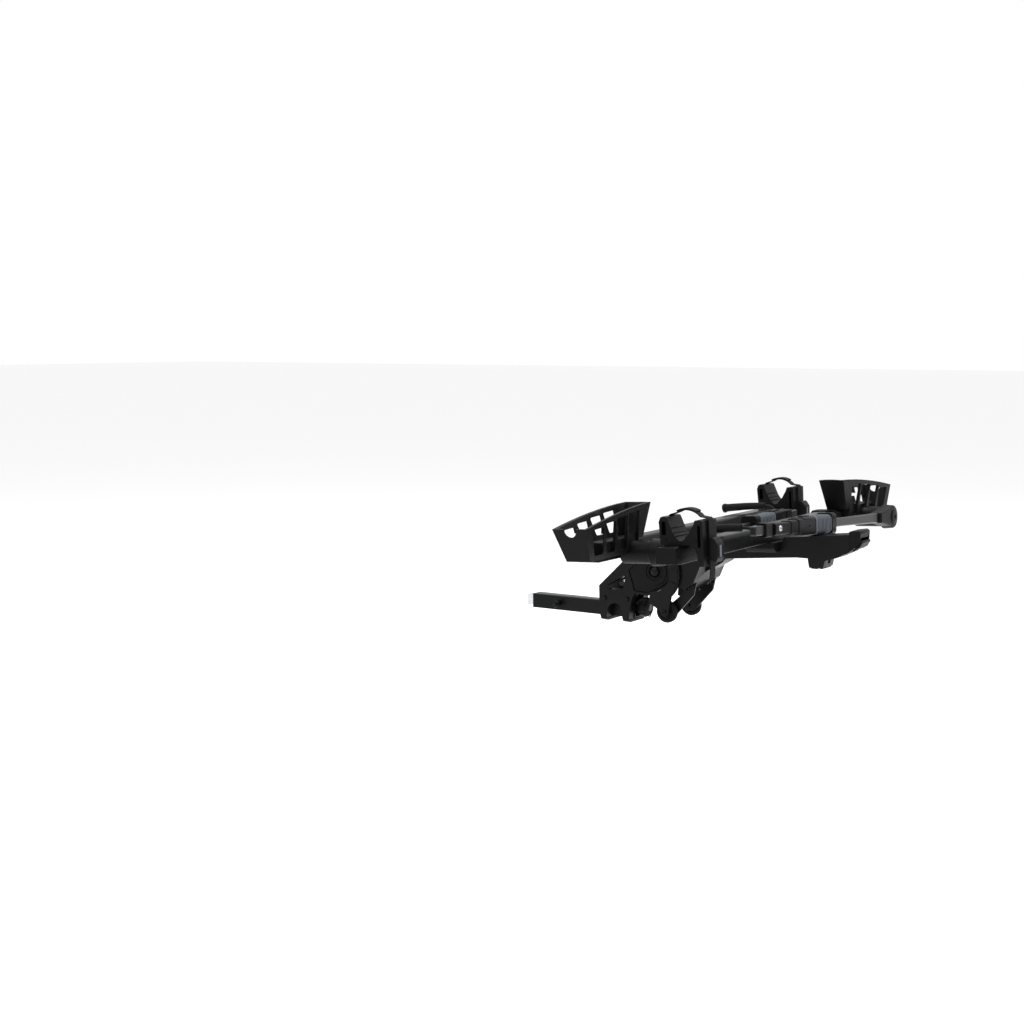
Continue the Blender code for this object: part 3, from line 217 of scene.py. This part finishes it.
def paintedTube():  # dark grey satin paint with long faint draw lines
    shade = Shade("paintedTube")
    lines = shade.noise(40.0, 5.0, 0.6, shade.stretched((14.0, 0.5, 14.0)))
    fleck = shade.noise(1700.0, 1.0)
    shade.feed(colour=shade.mix(lines, tubeValues["dark"], tubeValues["light"]))
    shade.feed(roughness=0.24 + lines * 0.12, metallic=0.05, shine=tubeValues["shine"])
    shade.bump(lines * 0.6 + fleck * 0.4, 0.00012, 0.4)
    return shade.material


gripValues = {"dark": (0.050, 0.058, 0.070, 1), "light": (0.082, 0.093, 0.111, 1), "shine": 0.25}


def gripPlastic():  # soft-touch blue-grey moulding
    shade = Shade("gripPlastic")
    cloud = shade.noise(30.0, 6.0, 0.6)
    grain = shade.cells(1900.0)
    shade.feed(colour=shade.mix(cloud, gripValues["dark"], gripValues["light"]))
    shade.feed(roughness=0.50 + cloud * 0.12, shine=gripValues["shine"])
    shade.bump(grain, 0.00016, 0.4)
    return shade.material


steelValues = {"dark": (0.42, 0.43, 0.45, 1), "light": (0.68, 0.69, 0.71, 1)}


def platedSteel():  # zinc plate with fine turning marks
    shade = Shade("platedSteel")
    marks = shade.noise(300.0, 3.0, 0.5, shade.stretched((1.0, 9.0, 1.0)))
    cloud = shade.noise(45.0, 4.0)
    shade.feed(colour=shade.mix(cloud, steelValues["dark"], steelValues["light"]))
    shade.feed(roughness=0.22 + marks * 0.16, metallic=1.0)
    shade.bump(marks, 0.00008, 0.4)
    return shade.material


finishes = {
    "steel_coat": powderCoat(),
    "alloy_coat": powderCoat(),
    "black_plastic": mouldedPlastic(),
    "rubber": softRubber(),
    "grey_tube": paintedTube(),
    "grey_grip": gripPlastic(),
    "silver": platedSteel(),
}
print("finishes made,", len(finishes))


hinge = Vector(joints["platform_tilt"]["pos_m"])
rearward = Vector(joints["release_rod_slide"]["axis"]).normalized()
upward = Vector((-rearward.z, 0.0, rearward.x))


def basis(origin, across, along, up):
    made = Matrix((across, along, up)).transposed().to_4x4()
    made.translation = origin
    return made


platformPlace = basis(hinge, rearward, Vector((0, 1, 0)), upward)


def armPlace(end, distance):  # X across the arm, Y outwards along it, Z up, from the pivot
    pivot = Vector(joints[f"arm_{end}_raise"]["pos_m"])
    along = Vector(joints[f"carriage_{end}_slide"]["axis"]).normalized()
    up = rearward.cross(along)
    if up.z < 0:
        up = -up
    return basis(pivot + along * distance, rearward, along, up)


def finishMesh(name, shape, place=None, smooth=40):
    if place is not None:
        shape.transform(place)
    bmesh.ops.remove_doubles(shape, verts=shape.verts[:], dist=1e-6)
    bmesh.ops.recalc_face_normals(shape, faces=shape.faces[:])
    mesh = bpy.data.meshes.new(name)
    shape.to_mesh(mesh)
    shape.free()
    mesh.shade_smooth()
    mesh.set_sharp_from_angle(angle=math.radians(smooth))
    piece = bpy.data.objects.new(name, mesh)
    bpy.context.scene.collection.objects.link(piece)
    return piece


def dress(piece, body, slot, *stands):
    piece.data.materials.clear()
    piece.data.materials.append(finishes[slot])
    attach(piece, body)
    if stands:
        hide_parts(*stands)
    return piece


def rounded(piece, width, segments=2, angle=28):
    edge = piece.modifiers.new("softEdges", "BEVEL")
    edge.width = width
    edge.segments = segments
    edge.limit_method = "ANGLE"
    edge.angle_limit = math.radians(angle)
    edge.harden_normals = False
    edge.miter_outer = "MITER_ARC"
    return piece


def softened(node, width, segments, outerOnly):  # the node's own shape, merged, with soft edges
    shape = bmesh.new()
    shape.from_mesh(frame["nodes"][node].data)
    bmesh.ops.remove_doubles(shape, verts=shape.verts[:], dist=2e-5)
    bmesh.ops.dissolve_limit(
        shape,
        angle_limit=math.radians(0.02 if outerOnly else 1.0),
        verts=shape.verts[:],
        edges=shape.edges[:],
    )
    if outerOnly:
        weight = shape.edges.layers.float.new("bevel_weight_edge")
        for edge in shape.edges:
            if edge.is_manifold and edge.calc_face_angle_signed(0.0) > math.radians(28):
                edge[weight] = 1.0
    mesh = bpy.data.meshes.new(node + "_soft")
    shape.to_mesh(mesh)
    shape.free()
    mesh.shade_smooth()
    mesh.set_sharp_from_angle(angle=math.radians(35))
    piece = bpy.data.objects.new(node + "_soft", mesh)
    bpy.context.scene.collection.objects.link(piece)
    rounded(piece, width, segments)
    if outerOnly:
        piece.modifiers["softEdges"].limit_method = "WEIGHT"
    return dress(piece, bodyOf[node], slotOf[node], node)


def tubeSection(shape, width, height, corner, steps=5):  # one rounded rectangle at Y = 0
    loop = []
    for side, level, begin in ((1, 1, 0), (-1, 1, 90), (-1, -1, 180), (1, -1, 270)):
        centre = (side * (width / 2 - corner), level * (height / 2 - corner))
        for step in range(steps + 1):
            turn = math.radians(begin + 90 * step / steps)
            spot = (centre[0] + corner * math.cos(turn), 0.0, centre[1] + corner * math.sin(turn))
            loop.append(shape.verts.new(spot))
    edges = [shape.edges.new((loop[index - 1], loop[index])) for index in range(len(loop))]
    return edges


def drawAlong(shape, edges, stations):  # extrudes a loop to each station: (distance, size)
    size = 1.0
    place = 0.0
    for distance, wanted in stations:
        grown = bmesh.ops.extrude_edge_only(shape, edges=edges)["geom"]
        verts = [item for item in grown if isinstance(item, bmesh.types.BMVert)]
        edges = [item for item in grown if isinstance(item, bmesh.types.BMEdge)]
        bmesh.ops.translate(shape, verts=verts, vec=(0, distance - place, 0))
        middle = sum((vert.co for vert in verts), Vector()) / len(verts)
        ratio = wanted / size
        about = Matrix.Translation(-middle)
        bmesh.ops.scale(shape, verts=verts, vec=(ratio, 1, ratio), space=about)
        size = wanted
        place = distance
    return edges


def turnedShape(profile, steps=40):  # spins (radius, place) points round the Y axis
    shape = bmesh.new()
    verts = [shape.verts.new((radius, place, 0.0)) for radius, place in profile]
    edges = [shape.edges.new(pair) for pair in zip(verts, verts[1:])]
    bmesh.ops.spin(
        shape,
        geom=verts + edges,
        cent=(0, 0, 0),
        axis=(0, 1, 0),
        angle=math.tau,
        steps=steps,
        use_merge=True,
    )
    return shape


def screwHead(name, place, body, radius=0.006, height=0.003):  # a socket screw head on +Y
    socket = radius * 0.5
    profile = [
        (0.0, -0.001),
        (radius, -0.001),
        (radius, height * 0.6),
        (radius * 0.86, height),
        (socket, height),
        (socket * 0.94, height * 0.35),
        (0.0, height * 0.35),
    ]
    return dress(finishMesh(name, turnedShape(profile, 24), place), body, "steel_coat")


slidingNodes = (
    "hitch_tongue",
    "expander_wedge",
    "arm_front",
    "arm_rear",
    "carriage_front",
    "carriage_rear",
)
edgeWidths = {
    "hitch_tongue": 0.0008,
    "bracket_left": 0.0022,
    "bracket_right": 0.0022,
    "hub_cover_left": 0.0016,
    "hub_cover_right": 0.0016,
    "foot_front": 0.0022,
    "foot_rear": 0.0022,
    "spine": 0.0028,
    "rotor_left": 0.0018,
    "rotor_right": 0.0018,
    "wheel_fork_left": 0.0015,
    "wheel_fork_right": 0.0015,
    "tail_cover": 0.0050,
    "tilt_lever": 0.0018,
    "tension_knob": 0.0014,
    "knob_insert": 0.0012,
    "expander_wedge": 0.0010,
}
perBike = {
    "beam": 0.0030,
    "beam_cap": 0.0026,
    "beam_clamp": 0.0030,
    "cradle": 0.0017,
    "cradle_saddle": 0.0022,
    "holder": 0.0022,
    "strap": 0.0006,
    "buckle": 0.0020,
    "arm_housing": 0.0016,
    "knuckle": 0.0045,
    "arm": 0.0042,
    "carriage": 0.0018,
    "hook": 0.0016,
    "hook_sleeve": 0.0030,
}
for end in ("front", "rear"):
    for node, width in perBike.items():
        edgeWidths[f"{node}_{end}"] = width
edgeWidths["lock_housing_rear"] = 0.0022
for node, width in edgeWidths.items():
    softened(node, width, 3 if width > 0.002 else 2, node in slidingNodes)
print("soft edges on", len(edgeWidths), "nodes")


gripShape = {
    "width": 0.0530,
    "height": 0.0590,
    "corner": 0.014,
    "ribs": 10,
    "groove": 0.90,
    "crown": 1.03,
}


def distanceAlong(end, node):  # from the arm's pivot to a node's nearer end, and the node's length
    place = armPlace(end, 0.0)
    spots = [place.inverted() @ vert.co for vert in frame["nodes"][node].data.vertices]
    reach = [spot.y for spot in spots]
    return min(reach), max(reach) - min(reach)


def buildGrip(end):  # ribs round the carriage, open where the carriage's neck passes
    start, length = distanceAlong(end, f"grip_{end}")
    shape = bmesh.new()
    ribs = gripShape["ribs"]
    crown, groove = gripShape["crown"], gripShape["groove"]
    first = tubeSection(shape, gripShape["width"], gripShape["height"], gripShape["corner"])
    stations = [(0.003, crown)]
    pitch = (length - 0.012) / ribs
    for rib in range(ribs):
        ahead = 0.006 + pitch * rib
        stations += [
            (ahead + pitch * 0.14, crown),
            (ahead + pitch * 0.26, groove),
            (ahead + pitch * 0.58, groove),
            (ahead + pitch * 0.70, crown),
        ]
    stations += [(length, 1.0)]
    last = drawAlong(shape, first, stations)
    hole = tubeSection(shape, 0.0402, 0.0462, 0.006)
    backHole = drawAlong(shape, hole, [(length, 1.0)])
    bmesh.ops.bridge_loops(shape, edges=first + hole)
    bmesh.ops.bridge_loops(shape, edges=last + backHole)
    piece = finishMesh(f"ribbed_grip_{end}", shape, armPlace(end, start))
    return dress(piece, f"carriage_{end}", "grey_grip", f"grip_{end}")


wheelShape = {
    "radius": 0.0374,
    "half": 0.0100,
    "rim": 0.0262,
    "hub": 0.0120,
    "bore": 0.0057,
    "spokes": 5,
}


def buildWheel(side):  # a solid rubber tyre with a shallow tread line, on a dished hub
    r, half, rim, hub = (wheelShape[key] for key in ("radius", "half", "rim", "hub"))
    bore = wheelShape["bore"]
    profile = [
        (bore, -half),
        (hub - 0.001, -half),
        (hub, -half + 0.001),
        (hub + 0.001, -half + 0.0045),
        (rim - 0.002, -half + 0.0045),
        (rim, -half + 0.0010),
        (rim + 0.001, -half),
        (r - 0.005, -half),
        (r - 0.0018, -half + 0.0016),
        (r, -half + 0.0050),
        (r, -0.0012),
        (r - 0.0010, 0.0),
        (r, 0.0012),
        (r, half - 0.0050),
        (r - 0.0018, half - 0.0016),
        (r - 0.005, half),
        (rim + 0.001, half),
        (rim, half - 0.0010),
        (rim - 0.002, half - 0.0045),
        (hub + 0.001, half - 0.0045),
        (hub, half - 0.001),
        (hub - 0.001, half),
        (bore, half),
        (bore, -half),
    ]
    centre = Matrix.Translation(joints[f"wheel_{side}_roll"]["pos_m"])
    tyre = finishMesh(f"tread_wheel_{side}", turnedShape(profile, 56), centre, 30)
    dress(tyre, f"wheel_{side}", "rubber", f"wheel_{side}")
    for spoke in range(wheelShape["spokes"]):
        shape = bmesh.new()
        bmesh.ops.create_cube(shape, size=1.0)
        bmesh.ops.scale(shape, verts=shape.verts[:], vec=(0.0135, 2 * half - 0.004, 0.0034))
        bmesh.ops.translate(shape, verts=shape.verts[:], vec=((hub + rim) / 2 - 0.0002, 0, 0))
        turn = Matrix.Rotation(math.tau * spoke / wheelShape["spokes"], 4, "Y")
        rib = finishMesh(f"wheel_rib_{side}_{spoke}", shape, centre @ turn)
        dress(rounded(rib, 0.0007), f"wheel_{side}", "black_plastic")


holderShape = {
    "width": 0.142,
    "ridge": 0.0019,
    "run": 0.0850,
    "loop": 0.0075,
    "wire": 0.0014,
    "face": 0.0455,
    "ridges": (
        (0.0395, 0.2070),
        (0.0460, 0.1925),
        (0.0530, 0.1830),
        (0.0845, 0.1795),
        (0.0945, 0.1890),
        (0.1045, 0.2040),
    ),
    "screws": ((0.020, 0.172, 0.0048), (0.118, 0.170, 0.0040), (0.069, 0.1620, 0.0030)),
}


def bar(radius, length, segments=14):  # a round bar along Y with softened ends
    shape = bmesh.new()
    bmesh.ops.create_cone(
        shape,
        cap_ends=True,
        segments=segments,
        radius1=radius,
        radius2=radius,
        depth=length,
        matrix=Matrix.Rotation(math.pi / 2, 4, "X"),
    )
    ends = [edge for edge in shape.edges if abs(edge.verts[0].co.y - edge.verts[1].co.y) < 1e-6]
    bmesh.ops.bevel(
        shape,
        geom=ends,
        offset=radius * 0.35,
        segments=2,
        profile=0.5,
        affect="EDGES",
        material=-1,
    )
    return shape


def ring(radius, wire):  # a round wire loop in the X-Z plane
    shape = bmesh.new()
    made = bmesh.ops.create_circle(shape, segments=10, radius=wire)
    bmesh.ops.translate(shape, verts=made["verts"], vec=(radius, 0, 0))
    bmesh.ops.spin(
        shape,
        geom=shape.verts[:] + shape.edges[:],
        cent=(0, 0, 0),
        axis=(0, 1, 0),
        angle=math.tau,
        steps=32,
        use_merge=True,
    )
    return shape


def buildHolderTrim(end):
    body = f"holder_{end}"
    hingeSpot = platformPlace.inverted() @ Vector(joints[f"buckle_{end}_flip"]["pos_m"])
    right = hingeSpot.x - 0.0169
    left = right - holderShape["width"]
    y = hingeSpot.y
    for index, (across, level) in enumerate(holderShape["ridges"]):
        place = platformPlace @ Matrix.Translation((left + across, y, level))
        shape = bar(holderShape["ridge"], holderShape["run"])
        dress(finishMesh(f"vee_ridge_{end}_{index}", shape, place), body, "rubber")
    place = platformPlace @ Matrix.Translation((right + 0.0020, y, 0.0485))
    shape = ring(holderShape["loop"], holderShape["wire"])
    dress(finishMesh(f"strap_loop_{end}", shape, place), body, "rubber")
    for face in (-1, 1):
        turn = Matrix.Rotation(0 if face > 0 else math.pi, 4, "Z")
        label = "right" if face > 0 else "left"
        for index, (across, level, radius) in enumerate(holderShape["screws"]):
            spot = (left + across, y + face * holderShape["face"], level)
            place = platformPlace @ Matrix.Translation(spot) @ turn
            screwHead(f"holder_screw_{end}_{label}_{index}", place, body, radius, 0.0022)
    buildBuckleTrim(end, hingeSpot)


def buildBuckleTrim(end, hingeSpot):  # the lever's stripe, its pivot pin and its finger ridges
    body = f"buckle_{end}"
    place = platformPlace @ Matrix.Translation(hingeSpot)
    spot = place @ Matrix.Translation((0.001, 0, -0.001))
    dress(finishMesh(f"buckle_pin_{end}", bar(0.0036, 0.0470, 24), spot), body, "steel_coat")
    stripe = bmesh.new()
    bmesh.ops.create_cube(stripe, size=1.0)
    bmesh.ops.scale(stripe, verts=stripe.verts[:], vec=(0.0024, 0.0130, 0.0360))
    bmesh.ops.translate(stripe, verts=stripe.verts[:], vec=(0.0162, 0.0, -0.0310))
    stripePiece = finishMesh(f"buckle_stripe_{end}", stripe, place)
    dress(rounded(stripePiece, 0.0010), body, "grey_grip")
    for index in range(4):
        across = (-0.0165, -0.0115, 0.0115, 0.0165)[index]
        rib = bmesh.new()
        bmesh.ops.create_cube(rib, size=1.0)
        bmesh.ops.scale(rib, verts=rib.verts[:], vec=(0.0022, 0.0020, 0.0340))
        bmesh.ops.translate(rib, verts=rib.verts[:], vec=(0.0163, across, -0.0310))
        piece = finishMesh(f"buckle_rib_{end}_{index}", rib, place)
        dress(rounded(piece, 0.0006), body, "black_plastic")


capShape = {"radius": 0.0270, "rise": 0.0042, "socket": 0.0070}


def buildArmTrim(end):
    pivot = armPlace(end, 0.0)
    face = 0.0199
    r, rise, socket = capShape["radius"], capShape["rise"], capShape["socket"]
    profile = [
        (0.0, -0.002),
        (r, -0.002),
        (r, 0.0012),
        (r - 0.0016, 0.0026),
        (r * 0.62, rise),
        (socket + 0.002, rise),
        (socket, rise - 0.0006),
        (socket * 0.92, 0.0008),
        (0.0, 0.0008),
    ]
    turn = Matrix.Rotation(-math.pi / 2, 4, "Z")
    place = pivot @ Matrix.Translation((face, 0, 0)) @ turn
    cap = finishMesh(f"pivot_cap_{end}", turnedShape(profile, 48), place)
    dress(cap, f"arm_{end}", "black_plastic")
    start, length = distanceAlong(end, f"carriage_{end}")
    place = armPlace(end, start)
    for name, across, along, level, turnedTo in (
        ("out", 0.0288, 0.017, 0.020, -90),
        ("outLow", 0.0288, 0.017, -0.020, -90),
        ("car", -0.0288, 0.017, 0.020, 90),
        ("head", 0.0248, 0.205, 0.0, -90),
        ("headCar", -0.0248, 0.205, 0.0, 90),
    ):
        spin = Matrix.Rotation(math.radians(turnedTo), 4, "Z")
        spot = place @ Matrix.Translation((across, along, level)) @ spin
        screwHead(f"carriage_screw_{end}_{name}", spot, f"carriage_{end}", 0.0042, 0.0020)
    trigger = bmesh.new()  # the thumb release on top of the carriage
    bmesh.ops.create_cube(trigger, size=1.0)
    bmesh.ops.scale(trigger, verts=trigger.verts[:], vec=(0.0240, 0.0500, 0.0080))
    bmesh.ops.translate(trigger, verts=trigger.verts[:], vec=(0.0, 0.2000, 0.0290))
    top = [vert for vert in trigger.verts if vert.co.z > 0.030]
    middle = Matrix.Translation((0, -0.2000, 0))
    bmesh.ops.scale(trigger, verts=top, vec=(0.80, 0.86, 1.0), space=middle)
    piece = finishMesh(f"thumb_release_{end}", trigger, place)
    dress(rounded(piece, 0.0018, 3), f"carriage_{end}", "black_plastic")
    sleeveRings(end)


def sleeveRings(end):  # a rounded cap on the free end of the hook's sleeve
    mesh = frame["nodes"][f"hook_sleeve_{end}"].data
    inner = platformPlace.inverted()
    spots = [inner @ vert.co for vert in mesh.vertices]
    nearCar = min(spot.x for spot in spots)
    tip = [spot for spot in spots if spot.x < nearCar + 0.004]
    middle = sum(tip, Vector()) / len(tip)
    profile = [
        (0.0, 0.0060),
        (0.0118, 0.0060),
        (0.0150, 0.0052),
        (0.0162, 0.0030),
        (0.0162, -0.0030),
        (0.0150, -0.0046),
        (0.0105, -0.0056),
        (0.0, -0.0058),
    ]
    turn = Matrix.Rotation(-math.pi / 2, 4, "Z")
    place = platformPlace @ Matrix.Translation(middle + Vector((0.0062, 0, 0))) @ turn
    cap = finishMesh(f"sleeve_end_{end}", turnedShape(profile, 36), place)
    dress(cap, f"carriage_{end}", "rubber")


def buildLock():  # the key barrel at the nose of the lock housing
    start, length = distanceAlong("rear", "lock_housing_rear")
    place = armPlace("rear", start + length - 0.030)
    turn = Matrix.Rotation(-math.pi / 2, 4, "Z")
    profile = [
        (0.0, -0.002),
        (0.0085, -0.002),
        (0.0085, 0.0020),
        (0.0078, 0.0030),
        (0.0060, 0.0030),
        (0.0056, 0.0022),
        (0.0, 0.0022),
    ]
    spot = place @ Matrix.Translation((0.0218, 0, 0.002)) @ turn
    barrel = finishMesh("lock_barrel", turnedShape(profile, 36), spot)
    dress(barrel, "carriage_rear", "silver")
    # painted shade: a black box set into the barrel's keyway, standing in for the dark inside the
    # open slot
    slot = bmesh.new()
    bmesh.ops.create_cube(slot, size=1.0)
    bmesh.ops.scale(slot, verts=slot.verts[:], vec=(0.0016, 0.0014, 0.0062))
    bmesh.ops.translate(slot, verts=slot.verts[:], vec=(0.0243, 0, 0.002))
    dress(finishMesh("keyway_painted_shade", slot, place), "carriage_rear", "black_plastic")


hubShape = {
    "padLow": 0.0715,
    "padHigh": 0.1010,
    "face": 0.1094,
    "rise": 0.0042,
    "nut": 0.1106,
    "margin": 0.0105,
    "panel": 0.0026,
    "screws": ((-0.072, 0.018), (-0.062, -0.050), (0.030, -0.040), (0.032, 0.038), (-0.030, 0.040)),
}


def raisedPanel(node, side, body):  # the middle of a node's outer face, standing proud of it
    shape = bmesh.new()
    shape.from_mesh(frame["nodes"][node].data)
    bmesh.ops.remove_doubles(shape, verts=shape.verts[:], dist=2e-5)
    outer = max(side * vert.co.y for vert in shape.verts)
    spare = [face for face in shape.faces if any(side * v.co.y < outer - 1e-4 for v in face.verts)]
    bmesh.ops.delete(shape, geom=spare, context="FACES")
    bmesh.ops.dissolve_limit(
        shape,
        angle_limit=math.radians(1.0),
        verts=shape.verts[:],
        edges=shape.edges[:],
    )
    bmesh.ops.inset_region(
        shape,
        faces=shape.faces[:],
        thickness=hubShape["margin"],
        use_boundary=True,
        use_even_offset=True,
    )
    rim = {vert for vert in shape.verts if any(edge.is_boundary for edge in vert.link_edges)}
    ringFaces = [face for face in shape.faces if any(vert in rim for vert in face.verts)]
    bmesh.ops.delete(shape, geom=ringFaces, context="FACES")
    grown = bmesh.ops.extrude_face_region(shape, geom=shape.faces[:])["geom"]
    verts = [item for item in grown if isinstance(item, bmesh.types.BMVert)]
    bmesh.ops.translate(shape, verts=verts, vec=(0, side * hubShape["panel"], 0))
    panel = finishMesh(f"raised_panel_{node}", shape)
    dress(rounded(panel, 0.0012), body, "black_plastic")


def buildHubTrim(side, label):
    for index, (start, sweep) in enumerate(((-46, 24), (-17, 24), (12, 24))):
        shape = bmesh.new()
        low, high = hubShape["padLow"], hubShape["padHigh"]
        y0 = side * hubShape["face"]
        y1 = side * (hubShape["face"] + hubShape["rise"])
        corners = ((low, y0), (high, y0), (high - 0.0020, y1), (low + 0.0020, y1))
        verts = [shape.verts.new((radius, y, 0.0)) for radius, y in corners]
        face = shape.faces.new(verts)
        bmesh.ops.spin(
            shape,
            geom=[face] + face.edges[:] + verts,
            cent=(0, 0, 0),
            axis=(0, -1, 0),
            angle=math.radians(sweep),
            steps=8,
        )
        place = platformPlace @ Matrix.Rotation(math.radians(-start), 4, "Y")
        pad = finishMesh(f"rotor_pad_{label}_{index}", shape, place)
        dress(rounded(pad, 0.0012), "platform", "alloy_coat")
    turn = Matrix.Rotation(0 if side > 0 else math.pi, 4, "Z")
    cover = Matrix.Translation((hinge.x, side * 0.0870, hinge.z)) @ turn
    ringProfile = [
        (0.0215, -0.001),
        (0.0285, -0.001),
        (0.0285, 0.0012),
        (0.0275, 0.0022),
        (0.0228, 0.0022),
        (0.0215, 0.0010),
        (0.0215, -0.001),
    ]
    pivotRing = finishMesh(f"pivot_ring_{label}", turnedShape(ringProfile, 56), cover)
    dress(pivotRing, "root", "black_plastic")
    for index, (across, level) in enumerate(hubShape["screws"]):
        spot = cover @ Matrix.Translation((across * side, 0.0002, level))
        screwHead(f"cover_screw_{label}_{index}", spot, "root", 0.0040, 0.0018)
    axle = Vector(joints[f"wheel_{label}_roll"]["pos_m"])
    axle.y = side * hubShape["nut"]
    screwHead(f"wheel_nut_{label}", Matrix.Translation(axle) @ turn, "platform", 0.0078, 0.0048)
    raisedPanel(f"hub_cover_{label}", side, "root")


tailShape = {
    "inner": 0.0356,
    "outer": 0.0406,
    "width": 0.0012,
    "outline": (
        (0.0006, 0.1350),
        (0.0330, 0.1385),
        (0.0390, 0.1325),
        (0.0360, 0.1040),
        (0.0130, 0.0800),
        (0.0006, 0.0730),
    ),
}


def buildTail():  # a guard on each side of the tilt lever
    spine = frame["nodes"]["spine"].data
    inner = platformPlace.inverted()
    spots = [inner @ vert.co for vert in spine.vertices]
    end = max(spot.x for spot in spots)
    for side, label in ((-1, "left"), (1, "right")):
        shape = bmesh.new()
        start = side * tailShape["inner"]
        verts = [shape.verts.new((end + x, start, z)) for x, z in tailShape["outline"]]
        face = shape.faces.new(verts)
        grown = bmesh.ops.extrude_face_region(shape, geom=[face])["geom"]
        moved = [item for item in grown if isinstance(item, bmesh.types.BMVert)]
        thick = side * (tailShape["outer"] - tailShape["inner"])
        bmesh.ops.translate(shape, verts=moved, vec=(0, thick, 0))
        guard = finishMesh(f"lever_guard_{label}", shape, platformPlace)
        dress(rounded(guard, tailShape["width"], 3), "platform", "black_plastic")


def buildBodyTrim():
    for end in ("front", "rear"):
        pivotSide = -1 if end == "front" else 1
        hold = platformPlace.inverted() @ Vector(joints[f"buckle_{end}_flip"]["pos_m"])
        centre = hold.x - 0.0169 - 0.1005
        for across in (-1, 1):
            turn = Matrix.Rotation(math.radians(-90 * across), 4, "Z")
            spot = (centre + across * 0.0478, pivotSide * 0.472, 0.1280)
            label = "car" if across < 0 else "out"
            place = platformPlace @ Matrix.Translation(spot) @ turn
            screwHead(f"saddle_screw_{end}_{label}", place, "platform", 0.0050, 0.0026)
    knob = Vector(joints["knob_turn"]["pos_m"])
    place = Matrix.Translation(knob + Vector((0.0440, 0.0, -0.0240)))
    place = place @ Matrix.Rotation(math.pi / 2, 4, "Z")
    dress(finishMesh("knob_loop", ring(0.0085, 0.0013), place), "knob", "rubber")


stageValues = {
    "floor": -0.400,
    "camera": (2.927, -4.885, 0.9614),
    "looks": (-0.5464, 0.8307, -0.1068),
    "lens": 57.52,
}


def buildStage():
    floor = bmesh.new()
    bmesh.ops.create_grid(floor, x_segments=2, y_segments=2, size=60.0)
    bmesh.ops.translate(floor, verts=floor.verts[:], vec=(0, 0, stageValues["floor"]))
    piece = finishMesh("paleFloor", floor)
    shade = Shade("paleFloor")
    shade.feed(colour=(0.93, 0.93, 0.93, 1), roughness=0.9)
    piece.data.materials.append(shade.material)
    world = bpy.data.worlds.new("studio")
    world.use_nodes = True
    world.node_tree.nodes["Background"].inputs[0].default_value = (1, 1, 1, 1)
    world.node_tree.nodes["Background"].inputs[1].default_value = 1.0
    bpy.context.scene.world = world
    lights = (
        ("keyLight", (-1.2, -3.4, 4.2), 5.0, 150.0),
        ("rearLight", (3.6, 1.5, 3.4), 3.0, 110.0),
        ("topLight", (0.4, 1.2, 4.0), 3.0, 150.0),
    )
    for name, spot, size, power in lights:
        lamp = bpy.data.lights.new(name, "AREA")
        lamp.size = size
        lamp.energy = power
        holder = bpy.data.objects.new(name, lamp)
        holder.location = spot
        aim = Vector((0.5, 0.0, 0.2)) - Vector(spot)
        holder.rotation_euler = aim.to_track_quat("-Z", "Y").to_euler()
        bpy.context.scene.collection.objects.link(holder)
    lens = bpy.data.cameras.new("studioCamera")
    lens.lens = stageValues["lens"]
    lens.sensor_width = 36.0
    lens.clip_end = 200.0
    camera = bpy.data.objects.new("studioCamera", lens)
    camera.location = stageValues["camera"]
    camera.rotation_euler = Vector(stageValues["looks"]).to_track_quat("-Z", "Y").to_euler()
    bpy.context.scene.collection.objects.link(camera)
    bpy.context.scene.camera = camera
    bpy.context.scene.view_settings.view_transform = "Standard"


for end in ("front", "rear"):
    buildGrip(end)
    buildHolderTrim(end)
    buildArmTrim(end)
print("grips, holders and arms trimmed")
for side, label in ((-1, "left"), (1, "right")):
    buildWheel(label)
    buildHubTrim(side, label)
buildLock()
buildTail()
buildBodyTrim()
print("wheels, hub and fasteners made")

for node, body in bodyOf.items():  # every node that still shows gets its finish
    holder = frame["nodes"][node]
    for index in range(len(holder.material_slots)):
        holder.material_slots[index].material = finishes[slotOf[node]]

buildStage()
